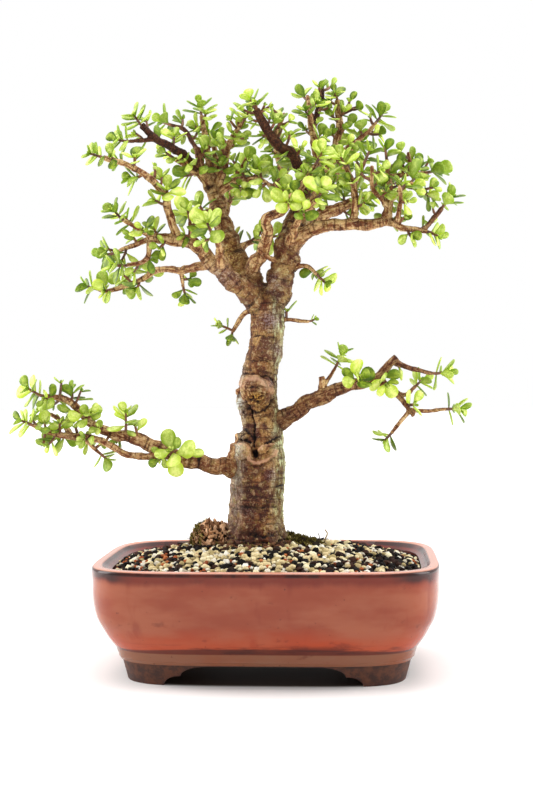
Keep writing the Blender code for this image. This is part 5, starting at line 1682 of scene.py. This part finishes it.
def make_bark_material(name):
    """Red-brown, purple and tan bark with ring scars and a dark flaky foot. The pale grey-green right side is
    partly painted side light and the pale left edge is a painted highlight. The lower middle is partly
    painted shade, grooves get painted shade and raised places get painted highlight.
    """
    surface, place = new_material(name, 0.7, 0.3)
    grain = attribute(place, "grain", "Vector")
    girth, painted_shading, dark, tint = [attribute(place, label) for label in ("girth", "painted_shading", "dark", "tint")]
    across, _, up = place.split()
    thick, stout = girth.band(3.0, 8.0), girth.band(8.0, 10.5)
    streaks = grain.stretched((0.5, 0.5, 0.09))
    streak, ring = streaks.cloud(1.0, 4.0, 0.6), grain.stretched((0.07, 0.07, 0.7)).cloud(1.0)
    blotches, speck = grain.cloud(0.3, 4.0, 0.6), grain.cloud(0.95, 3.0, 0.6)
    patches = place.cloud(170.0, 4.0, 0.6).band(0.42, 0.58)
    tans = place.stretched((1, 1, 1), 0.3).cloud(85.0).band(0.5, 0.6)
    purples = place.stretched((1, 1, 1), 0.7).cloud(70.0, 2.0).band(0.52, 0.62)
    flow, flecks = streak.band(0.42, 0.58), place.cloud(330.0, 3.0, 0.6).band(0.54, 0.62)
    twig = mixed(streak.band(0.4, 0.6), rgb(0.46, 0.305, 0.22), rgb(0.71, 0.57, 0.435))
    trunk = layered(
        mixed(patches, rgb(0.43, 0.27, 0.20), rgb(0.585, 0.43, 0.31)),
        (tans * 0.5, rgb(0.75, 0.59, 0.43)),
        (purples * 0.75, rgb(0.38, 0.255, 0.24)),
    )
    # partly the bark's grey-green, partly painted side light: the right of the stout trunk is paler
    right = across.band(0.0130, 0.0210) * stout * (patches * 0.45 + 0.45)
    # painted highlight: the pale left edge of the stout trunk, where side light catches it
    left = across.band(0.0035, -0.006) * stout * (flow * 0.35 + 0.3)
    low = up.band(0.150, 0.100)
    scars = ring.band(0.54, 0.66)
    splits = streaks.cells(0.9, feature="DISTANCE_TO_EDGE").band(0.05, 0.0) * (stout * 0.35)
    ochre = mixed(speck.band(0.4, 0.6), rgb(0.74, 0.58, 0.36), rgb(0.42, 0.28, 0.14))
    violet = mixed(speck.band(0.4, 0.6), rgb(0.62, 0.52, 0.505), rgb(0.38, 0.255, 0.24))
    gloom = mixed(speck.band(0.42, 0.6), rgb(0.32, 0.19, 0.145), rgb(0.13, 0.07, 0.055))
    russet = mixed(patches, rgb(0.27, 0.135, 0.095), rgb(0.45, 0.26, 0.185))
    colour = layered(
        mixed(thick, twig, trunk),
        # partly grey-green bark, partly painted side light on the right
        (right, mixed(flow, rgb(0.48, 0.43, 0.31), rgb(0.73, 0.68, 0.55))),
        # painted highlight on the trunk's left edge
        (left, rgb(0.90, 0.82, 0.74)),
        # partly its red-brown bark, partly painted shade: the lower trunk is darker in its middle and on its
        # left, between the lit sides
        (across.band(0.016, 0.006) * low * 0.6, russet),
        (up.band(0.096, 0.080) * 0.6, rgb(0.37, 0.20, 0.135)),
        (blotches.band(0.54, 0.64) * 0.55, rgb(0.26, 0.165, 0.13)),
        (blotches.band(0.46, 0.36) * 0.34, rgb(0.82, 0.70, 0.56)),
        (flecks * (low * 0.14 + 0.16), rgb(0.57, 0.50, 0.27)),
        (scars * 0.55, rgb(0.20, 0.125, 0.09)),
        (splits, rgb(0.16, 0.10, 0.07)),
        (speck.band(0.56, 0.68) * 0.45, rgb(0.20, 0.125, 0.09)),
        (speck.band(0.42, 0.32) * 0.28, rgb(0.80, 0.72, 0.60)),
        (tint.band(0.0, 1.0) * 0.85, ochre),
        (tint.band(0.0, -1.0) * 0.8, violet),
        (dark * 0.92, gloom),
        # painted shade in grooves, cracks and hollows
        (painted_shading.band(0.1, 0.9) * 0.92, rgb(0.11, 0.065, 0.04)),
        # painted highlight on raised lips, ridges and the knob's top
        (painted_shading.band(-0.06, -0.6) * 0.68, rgb(0.76, 0.58, 0.48)),
    )
    colour = deepened(colour, (1.5, 1.75, 1.95), thick, (2.15, 3.9, 7.2), (1.72, 3.75, 7.2))
    colour = mixed(stout, colour, (1.02, 0.90, 0.83, 1.0), "MULTIPLY")
    finish_material(surface, colour, streak * 0.45 + speck * -0.8 - scars * 0.35 - splits * 0.8, 0.8, 0.8)


def make_leaf_material(name, green):
    """Thick satin leaves, each its own tone and greener towards the margin, with a mottled painted highlight
    and painted glow of light through the leaf over the middle, and a thin painted highlight along the rim.
    """
    surface, place = new_material(name, 0.42, 0.28)
    tone = attribute(place, "tone")
    across, along, side = attribute(place, "blade", "Vector").split()
    edge = abs(across)
    dull = mixed(tone.band(0.0, 0.5), rgb(0.25, 0.37, 0.035), green)
    green = mixed(tone.band(0.4, 1.0), dull, rgb(0.75, 0.84, 0.22))
    pale = mixed(tone.band(0.1, 0.8), rgb(0.64, 0.72, 0.22), rgb(0.94, 0.98, 0.58))
    spots = use_group(mottling_group, place, 360.0)["Mask"]
    middle = (1.0 - edge.band(0.25, 0.85)) * along.band(0.05, 0.4)
    colour = layered(
        green,
        # painted highlight and painted light through the leaf: pale mottling over the middle
        (middle * (spots * 0.75 + 0.2), pale),
        # painted highlight along the leaf's rim
        (edge.band(0.93, 1.0) * 0.5, rgb(0.80, 0.83, 0.42)),
        (side.band(0.1, -0.3) * 0.35, rgb(0.48, 0.62, 0.22)),
        (along.band(0.14, 0.0) * 0.6, rgb(0.60, 0.42, 0.24)),
    )
    surface["Subsurface Weight"].default_value = 0.12
    surface["Subsurface Scale"].default_value = 0.002
    surface["Subsurface Radius"].default_value = (0.6, 1.0, 0.2)
    finish_material(surface, colour, spots + place.cloud(1400.0, 2.0) * 0.5, 0.25, 0.25)


def make_stem_material(name):
    """Young stems: red-brown, darker in patches."""
    surface, place = new_material(name, 0.5)
    patches = use_group(mottling_group, place, 260.0, Low=rgb(0.30, 0.17, 0.12), High=rgb(0.56, 0.36, 0.24))
    finish_material(surface, patches["Color"], place.cloud(900.0), 0.4, 0.3)


def make_glaze_material(name, glaze, pale_glaze):
    """Oxblood glaze: pinkish on the rim and walls, breaking dark on edges and orange low down, with a dark
    red band under the lip that is partly painted shade.
    """
    surface, place = new_material(name, 0.16, 0.3)
    across, away, up = place.split()
    wide = place.stretched((0.5, 0.5, 1.4)).cloud(45.0)
    drips = place.stretched((1.6, 1.6, 0.35)).cloud(60.0)
    smoke = place.stretched((0.35, 0.35, 3.0)).cloud(70.0, 4.0, 0.65)
    stains = place.stretched((0.8, 0.8, 1.7), 0.4).cloud(62.0, 4.0, 0.6)
    specks = place.cloud(420.0, 2.0, 0.5).band(0.71, 0.77)
    wavy, ragged = up + (wide - 0.5) * 0.014, up + (drips - 0.5) * 0.006
    streak = up.band(0.0195, 0.0205) * up.band(0.0275, 0.0225) * smoke.band(0.47, 0.6)
    edge = up.band(0.0650, 0.0658) * up.band(0.0679, 0.0672) * (drips.band(0.4, 0.6) * 0.4 + 0.45)
    shares = [
        abs(value / ((size / 2 - LIP_WIDTH + 0.6) * MM)) ** INNER_SQUARENESS
        for value, size in ((across - POT_X * MM, POT_WIDTH), (away, POT_DEPTH))
    ]
    corner = shares[0].lesser(shares[1]).band(0.25, 0.7) * (ragged.band(0.0605, 0.0640) * 0.85)
    orange = mixed(wide.band(0.3, 0.7), rgb(1.0, 0.58, 0.36), rgb(1.0, 0.70, 0.52))
    wall = layered(
        mixed(wide.band(0.35, 0.65), glaze, pale_glaze),
        (drips.band(0.55, 0.72) * 0.5, rgb(0.46, 0.16, 0.10)),
        ((1.0 - wavy.band(0.021, 0.038)) * 0.75, rgb(0.69, 0.25, 0.095)),
        (streak * 0.75, rgb(0.31, 0.10, 0.055)),
        (up.band(0.0198, 0.0192) * 0.9, orange),
        # partly the glaze breaking dark over the lip's roll, partly painted shade under the lip
        (ragged.band(0.0585, 0.0632) * 0.8, rgb(0.40, 0.105, 0.055)),
        (edge, rgb(0.14, 0.07, 0.06)),
        (corner, rgb(0.15, 0.085, 0.085)),
        (up.band(0.0672, 0.0679) * 0.85, rgb(0.86, 0.61, 0.52)),
        ((shares[0] + shares[1]).band(1.0, 0.96) * 0.8, rgb(0.23, 0.095, 0.075)),
        (stains.band(0.62, 0.70) * 0.4, rgb(0.34, 0.12, 0.08)),
        (specks * 0.6, rgb(0.2, 0.08, 0.07)),
    )
    finish_material(surface, wall, place.cloud(28.0, 2.0) + specks * 0.12, 0.16, 2.5)


def make_matt_material(name, low, high, roughness=0.7, scale=190.0, pits=1300.0, strength=0.5, depth=0.35):
    """A dry, mottled and pitted surface, such as bare fired clay."""
    surface, place = new_material(name, roughness)
    mottling = use_group(mottling_group, place, scale, Low=low, High=high)
    finish_material(surface, mottling["Color"], use_group(grit_group, place, pits)["Height"], strength, depth)


def make_stone_material(name, tones, roughness, scale, pits):
    """Loose grains, each with its own tone between three."""
    surface, place = new_material(name, roughness, 0.15)
    tone = attribute(place, "tone")
    spots = use_group(mottling_group, place, scale)["Mask"]
    colour = mixed(tone.band(0.5, 1.0), mixed(tone.band(0.0, 0.5), tones[0], tones[1]), tones[2])
    colour = mixed(spots * 0.35, colour, tones[0])
    finish_material(surface, colour, use_group(grit_group, place, pits)["Height"], 0.7, 0.5)


def make_mix_material(name):
    """The mix under the loose grains: dark crumbs and pale grit, with painted shade in the gaps between them.
    """
    surface, place = new_material(name, 0.85)
    grain, distance = place.cells(330.0, "Color").split()[0], place.cells(330.0)
    colour = layered(
        mixed(grain.band(0.25, 0.45), rgb(0.09, 0.06, 0.045), rgb(0.26, 0.20, 0.14)),
        (grain.band(0.72, 0.76), rgb(0.66, 0.64, 0.52)),
        (grain.band(0.94, 0.96), rgb(0.62, 0.33, 0.18)),
        # painted shade in the gaps between crumbs
        (distance.band(0.35, 0.75) * 0.8, rgb(0.07, 0.055, 0.05)),
    )
    finish_material(surface, colour, 1.0 - distance, 0.9, 1.5)


def make_wire_material(name):
    """Bare aluminium wire, dulled in patches."""
    surface, place = new_material(name, 0.4)
    mottling = use_group(mottling_group, place, 300.0, Low=rgb(0.72, 0.72, 0.71), High=rgb(0.86, 0.86, 0.84))
    put(surface["Base Color"], mottling["Color"])
    surface["Metallic"].default_value = 1.0
    put(surface["Roughness"], mottling["Mask"] * 0.2 + 0.3)


def make_paper_material(name, colour):
    """The plain pale sheet under the pot, with a painted shadow under the pot, which glows far out, where no
    lamp reaches.
    """
    surface, place = new_material(name, 0.6)
    across, away, _ = place.split()
    inset = FOOT_PROFILE[-1][0]
    wide = (across - POT_X * MM) / ((POT_WIDTH / 2 - inset) * MM)
    deep = away / ((POT_DEPTH / 2 - inset) * MM)
    # painted shadow: the sheet turns dark brown inside the pot's footprint
    under = (abs(wide) ** 4.0 + abs(deep) ** 4.0).band(1.15, 0.75)
    put(surface["Base Color"], mixed(under, colour, rgb(0.30, 0.22, 0.17)))
    distance = Field(node(place.tree, "VectorMath", {"Vector": place}, operation="LENGTH").outputs["Value"])
    put(surface["Emission Color"], mixed(distance.band(*PAPER_GLOW_REACH), rgb(0, 0, 0), colour))
    surface["Emission Strength"].default_value = PAPER_GLOW


# Stage

CAMERA_TREE = (0.0, -843.0, 180.0)  # in the tree's frame, like its target
TARGET_TREE = (-0.86, 0.0, 163.4)
CAMERA_LENS = 61.65
SENSOR_WIDTH = 36.0
CAMERA_ROLL = -0.4  # degrees
FLOOR_RADIUS = 6.0
PAPER_GLOW = 0.5  # keeps the sheet white right to the horizon
PAPER_GLOW_REACH = (0.25, 1.2)  # metres from the pot, where the glow begins and is full
WORLD_LIGHT = 0.95
FRONT_SHARE = 0.6  # of the world's light, from the side that the camera is on
BACKDROP_LIGHT = 1.0  # what the camera sees behind the tree
LAMPS = [
    # name, place and target in metres, size, power
    ("left_softbox", (-1.45, 0.1, 0.75), (0.02, 0.0, 0.2), (1.0, 1.3), 24.0),
    ("right_softbox", (1.5, 0.1, 0.75), (0.02, 0.0, 0.2), (1.0, 1.3), 21.0),
    ("top_softbox", (0.0, 0.0, 1.7), (0.0, 0.0, 0.1), (1.3, 1.3), 13.0),
    ("glint_strip", (0.0, -0.9, 1.5), (0.02, 0.0, 0.07), (1.2, 0.25), 3.0),
]


def stage_object(name, data, place=(0, 0, 0), target=None):
    """An object of the stage, aimed at a target if it has one."""
    made = linked_object(name, data)
    made.location = place
    if target:
        made.rotation_euler = (Vector(target) - made.location).to_track_quat("-Z", "Y").to_euler()
    return made


def light_world(light_level):
    """White surroundings, dimmer in front, behind a white backdrop."""
    world = bpy.data.worlds.new("studio")
    world.use_nodes = True
    bpy.context.scene.world = world
    background = world.node_tree.nodes["Background"]
    background.inputs["Color"].default_value = (1.0, 1.0, 1.0, 1.0)
    away = Field(node(world.node_tree, "TexCoord").outputs["Generated"]).split()[1]
    light = (away.band(-0.7, 0.3) * (1.0 - FRONT_SHARE) + FRONT_SHARE) * light_level
    seen = Field(node(world.node_tree, "LightPath").outputs["Is Camera Ray"])
    put(background.inputs["Strength"], seen * (BACKDROP_LIGHT - light) + light)


def make_stage(backdrop, light_level):
    light_world(light_level)
    bm = bmesh.new()
    bmesh.ops.create_circle(bm, cap_ends=True, segments=96, radius=FLOOR_RADIUS)
    floor = stage_object("floor", mesh_of(bm, "floor"))
    floor.data.materials.append(backdrop)
    for name, place, target, size, power in LAMPS:
        light = bpy.data.lights.new(name, "AREA")
        light.shape = "RECTANGLE"
        light.size, light.size_y = size
        light.energy = power
        stage_object(name, light, place, target).visible_camera = False
    data = bpy.data.cameras.new("camera")
    data.lens = CAMERA_LENS
    data.sensor_width = SENSOR_WIDTH
    data.sensor_fit = "AUTO"
    place, target = [place_of(True) @ Vector(point) for point in (CAMERA_TREE, TARGET_TREE)]
    camera = stage_object("camera", data, place, target)
    camera.rotation_euler.rotate_axis("Z", math.radians(CAMERA_ROLL))
    bpy.context.scene.camera = camera
    bpy.context.scene.view_settings.view_transform = "Standard"


# The add-on: settings, operators and panel


def shared_material(name, build, *looks):
    """The material of that name, built the first time it is asked for."""
    if name not in bpy.data.materials:
        build(name, *looks)
    return bpy.data.materials[name]


def stone(name, tones, roughness, scale, pits):
    """A stone material from its three tones as seen on a screen."""
    return shared_material(name, make_stone_material, [rgb(*tone) for tone in tones], roughness, scale, pits)


def moss_material():
    tones = ((0.13, 0.09, 0.045), (0.42, 0.37, 0.15), (0.80, 0.75, 0.42))
    return stone("dark_moss", tones, 0.85, 500.0, 2500.0)


def number(name, description, default, **limits):
    return bpy.props.FloatProperty(name=name, description=description, default=default, **limits)


def whole(name, description, default, **limits):
    return bpy.props.IntProperty(name=name, description=description, default=default, **limits)


def colour(name, description, *seen):
    return bpy.props.FloatVectorProperty(
        name=name, description=description, default=rgb(*seen), size=4, min=0.0, max=1.0, subtype="COLOR"
    )


class PotSettings(bpy.types.PropertyGroup):
    glaze: colour("Glaze", "The deeper colour of the glazed wall", 0.54, 0.24, 0.15)
    pale_glaze: colour("Pale glaze", "Its colour where it is thin", 0.60, 0.325, 0.225)
    clay: colour("Clay", "Colour of the bare feet", 0.33, 0.165, 0.07)


class MixSettings(bpy.types.PropertyGroup):
    grains: whole("Grains", "How many places are tried for a loose grain", 16000, min=0)
    pale: colour("Pale pebbles", "Their middle tone", 0.90, 0.82, 0.63)
    orange: colour("Orange bits", "Their middle tone", 0.72, 0.38, 0.20)


class TreeSettings(bpy.types.PropertyGroup):
    skin_voxel: number(
        "Skin detail", "Size of the cubes that the skin is joined on", 0.62 * MM, min=0.3 * MM, unit="LENGTH"
    )
    kept_faces: number(
        "Kept faces", "Share of the carved skin's faces that stay", 0.3, min=0.02, max=1.0, subtype="FACTOR"
    )


class LeafSettings(bpy.types.PropertyGroup):
    seed: whole("Seed", "Which arrangement of leaves", 3)
    size: number("Size", "Leaf length against the usual", 1.0, min=0.5, max=1.5, subtype="FACTOR")
    green: colour("Green", "The middle tone of the leaves", 0.50, 0.61, 0.07)


class StageSettings(bpy.types.PropertyGroup):
    world_light: number("World light", "Brightness of the white surroundings", WORLD_LIGHT, min=0.0)
    paper: colour("Paper", "Colour of the sheet under the pot", 0.97, 0.965, 0.96)


class BonsaiSettings(bpy.types.PropertyGroup):
    pot: bpy.props.PointerProperty(type=PotSettings)
    mix: bpy.props.PointerProperty(type=MixSettings)
    tree: bpy.props.PointerProperty(type=TreeSettings)
    leaves: bpy.props.PointerProperty(type=LeafSettings)
    stage: bpy.props.PointerProperty(type=StageSettings)


class BONSAI_OT_make_pot(bpy.types.Operator):
    """Make the glazed pot with its bare feet"""

    bl_idname = "bonsai.make_pot"
    bl_label = "Pot"
    bl_options = {"REGISTER", "UNDO"}

    def execute(self, context):
        pot = context.scene.bonsai.pot
        glaze = shared_material("oxblood_glaze", make_glaze_material, pot.glaze, pot.pale_glaze)
        make_pot(glaze, shared_material("foot_clay", make_matt_material, rgb(0.20, 0.08, 0.03), pot.clay))
        return {"FINISHED"}


class BONSAI_OT_make_bark(bpy.types.Operator):
    """Make the trunk and every branch as one carved skin"""

    bl_idname = "bonsai.make_bark"
    bl_label = "Bark"
    bl_options = {"REGISTER", "UNDO"}

    def execute(self, context):
        tree = context.scene.bonsai.tree
        mesh = make_bark_mesh(grow_limbs(), tree.skin_voxel / MM, tree.kept_faces)
        mesh.transform(place_of(True))
        bark = shared_material("dwarf_jade_bark", make_bark_material)
        piece = piece_from_mesh(mesh, "bark", [bark], None)
        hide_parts("trunk_and_branches")
        return {"FINISHED"}


class BONSAI_OT_make_leaves(bpy.types.Operator):
    """Grow the shoots that the solids stand for, then the small side shoots between them"""

    bl_idname = "bonsai.make_leaves"
    bl_label = "Leaves"
    bl_options = {"REGISTER", "UNDO"}

    def execute(self, context):
        leaves = context.scene.bonsai.leaves
        leaf = shared_material("dwarf_jade_leaf", make_leaf_material, leaves.green)
        make_leaves([leaf, shared_material("young_stem", make_stem_material)], leaves.seed, leaves.size)
        return {"FINISHED"}


class BONSAI_OT_make_gravel(bpy.types.Operator):
    """Scatter the loose grains over the mix"""

    bl_idname = "bonsai.make_gravel"
    bl_label = "Gravel"
    bl_options = {"REGISTER", "UNDO"}

    def execute(self, context):
        mix = context.scene.bonsai.mix
        looks = {
            "pale": ((rgb(0.66, 0.585, 0.40), mix.pale, rgb(1.0, 0.96, 0.82)), 0.75, 500.0),
            "lava": ((rgb(0.05, 0.035, 0.03), rgb(0.09, 0.065, 0.055), rgb(0.25, 0.14, 0.09)), 0.7, 700.0),
            "white": ((rgb(0.84, 0.80, 0.70), rgb(0.93, 0.90, 0.83), rgb(0.97, 0.96, 0.92)), 0.7, 600.0),
            "orange": ((rgb(0.50, 0.24, 0.13), mix.orange, rgb(0.80, 0.50, 0.30)), 0.75, 600.0),
        }
        materials = {
            kind: shared_material(kind + "_stone", make_stone_material, *look, 1500.0)
            for kind, look in looks.items()
        }
        make_mix_bed(shared_material("gravelly_mix", make_mix_material))
        make_gravel(grow_limbs(), materials, mix.grains)
        return {"FINISHED"}


class BONSAI_OT_make_moss(bpy.types.Operator):
    """Grow the moss against the trunk"""

    bl_idname = "bonsai.make_moss"
    bl_label = "Moss"
    bl_options = {"REGISTER", "UNDO"}

    def execute(self, context):
        make_moss(moss_material())
        return {"FINISHED"}


class BONSAI_OT_make_mound(bpy.types.Operator):
    """Make the old root mound"""

    bl_idname = "bonsai.make_mound"
    bl_label = "Root mound"
    bl_options = {"REGISTER", "UNDO"}

    def execute(self, context):
        earth_tones = ((0.20, 0.12, 0.08), (0.42, 0.27, 0.185), (0.62, 0.44, 0.32))
        chip_tones = ((0.42, 0.27, 0.18), (0.84, 0.64, 0.47), (0.98, 0.80, 0.64))
        earth = stone("root_earth", earth_tones, 0.85, 240.0, 900.0)
        chips = stone("bark_chips", chip_tones, 0.8, 300.0, 900.0)
        make_mound(earth, chips, moss_material())
        make_litter(earth, moss_material())
        return {"FINISHED"}


class BONSAI_OT_make_sprout(bpy.types.Operator):
    """Stand the dry stems in the mix"""

    bl_idname = "bonsai.make_sprout"
    bl_label = "Dry sprout"
    bl_options = {"REGISTER", "UNDO"}

    def execute(self, context):
        straw = (rgb(0.55, 0.45, 0.30), rgb(0.76, 0.68, 0.50))
        dark = (rgb(0.18, 0.14, 0.10), rgb(0.32, 0.25, 0.18))
        make_sprout(
            shared_material("dry_straw", make_matt_material, *straw),
            shared_material("dark_straw", make_matt_material, *dark),
        )
        return {"FINISHED"}


class BONSAI_OT_dress_solids(bpy.types.Operator):
    """Give the drain screens and their wire their finishes"""

    bl_idname = "bonsai.dress_solids"
    bl_label = "Drainage"
    bl_options = {"REGISTER", "UNDO"}

    def execute(self, context):
        black, dusty = rgb(0.09, 0.09, 0.09), rgb(0.2, 0.18, 0.16)
        mesh_plastic = (black, dusty, 0.45, 140.0, 1800.0, 0.3, 0.2)
        finishes = {
            "drain_screen": shared_material("black_mesh_plastic", make_matt_material, *mesh_plastic),
            "screen_staple": shared_material("dull_aluminium", make_wire_material),
        }
        for name, material in finishes.items():
            for side in ("_left", "_right"):
                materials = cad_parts[name + side].data.materials
                materials.clear()
                materials.append(material)
        return {"FINISHED"}


class BONSAI_OT_make_stage(bpy.types.Operator):
    """Set the pot on pale paper under soft light, with the camera in front"""

    bl_idname = "bonsai.make_stage"
    bl_label = "Stage"
    bl_options = {"REGISTER", "UNDO"}

    def execute(self, context):
        stage = context.scene.bonsai.stage
        make_stage(shared_material("pale_paper", make_paper_material, stage.paper), stage.world_light)
        return {"FINISHED"}


class BONSAI_PT_panel(bpy.types.Panel):
    """Settings and pieces of the bonsai"""

    bl_label = "Dwarf Jade Bonsai"
    bl_space_type = "VIEW_3D"
    bl_region_type = "UI"
    bl_category = "Bonsai"

    def draw(self, context):
        settings = context.scene.bonsai
        for group in (settings.pot, settings.mix, settings.tree, settings.leaves, settings.stage):
            box = self.layout.box()
            for name in group.bl_rna.properties.keys():
                if name not in {"rna_type", "name"}:
                    box.prop(group, name)
        for operator in OPERATORS:
            self.layout.operator(operator.bl_idname)


GROUPS = (PotSettings, MixSettings, TreeSettings, LeafSettings, StageSettings, BonsaiSettings)
OPERATORS = (
    BONSAI_OT_make_pot,
    BONSAI_OT_make_bark,
    BONSAI_OT_make_leaves,
    BONSAI_OT_make_gravel,
    BONSAI_OT_make_moss,
    BONSAI_OT_make_mound,
    BONSAI_OT_make_sprout,
    BONSAI_OT_dress_solids,
    BONSAI_OT_make_stage,
)
CLASSES = (*GROUPS, *OPERATORS, BONSAI_PT_panel)


def register():
    for cls in CLASSES:
        bpy.utils.register_class(cls)
    bpy.types.Scene.bonsai = bpy.props.PointerProperty(type=BonsaiSettings)


def unregister():
    del bpy.types.Scene.bonsai
    for cls in reversed(CLASSES):
        bpy.utils.unregister_class(cls)


def main():
    register()
    bpy.ops.bonsai.make_pot()
    bpy.ops.bonsai.make_bark()
    bpy.ops.bonsai.make_leaves()
    bpy.ops.bonsai.make_gravel()
    bpy.ops.bonsai.make_moss()
    bpy.ops.bonsai.make_mound()
    bpy.ops.bonsai.make_sprout()
    bpy.ops.bonsai.dress_solids()
    bpy.ops.bonsai.make_stage()


if __name__ == "__main__":
    main()
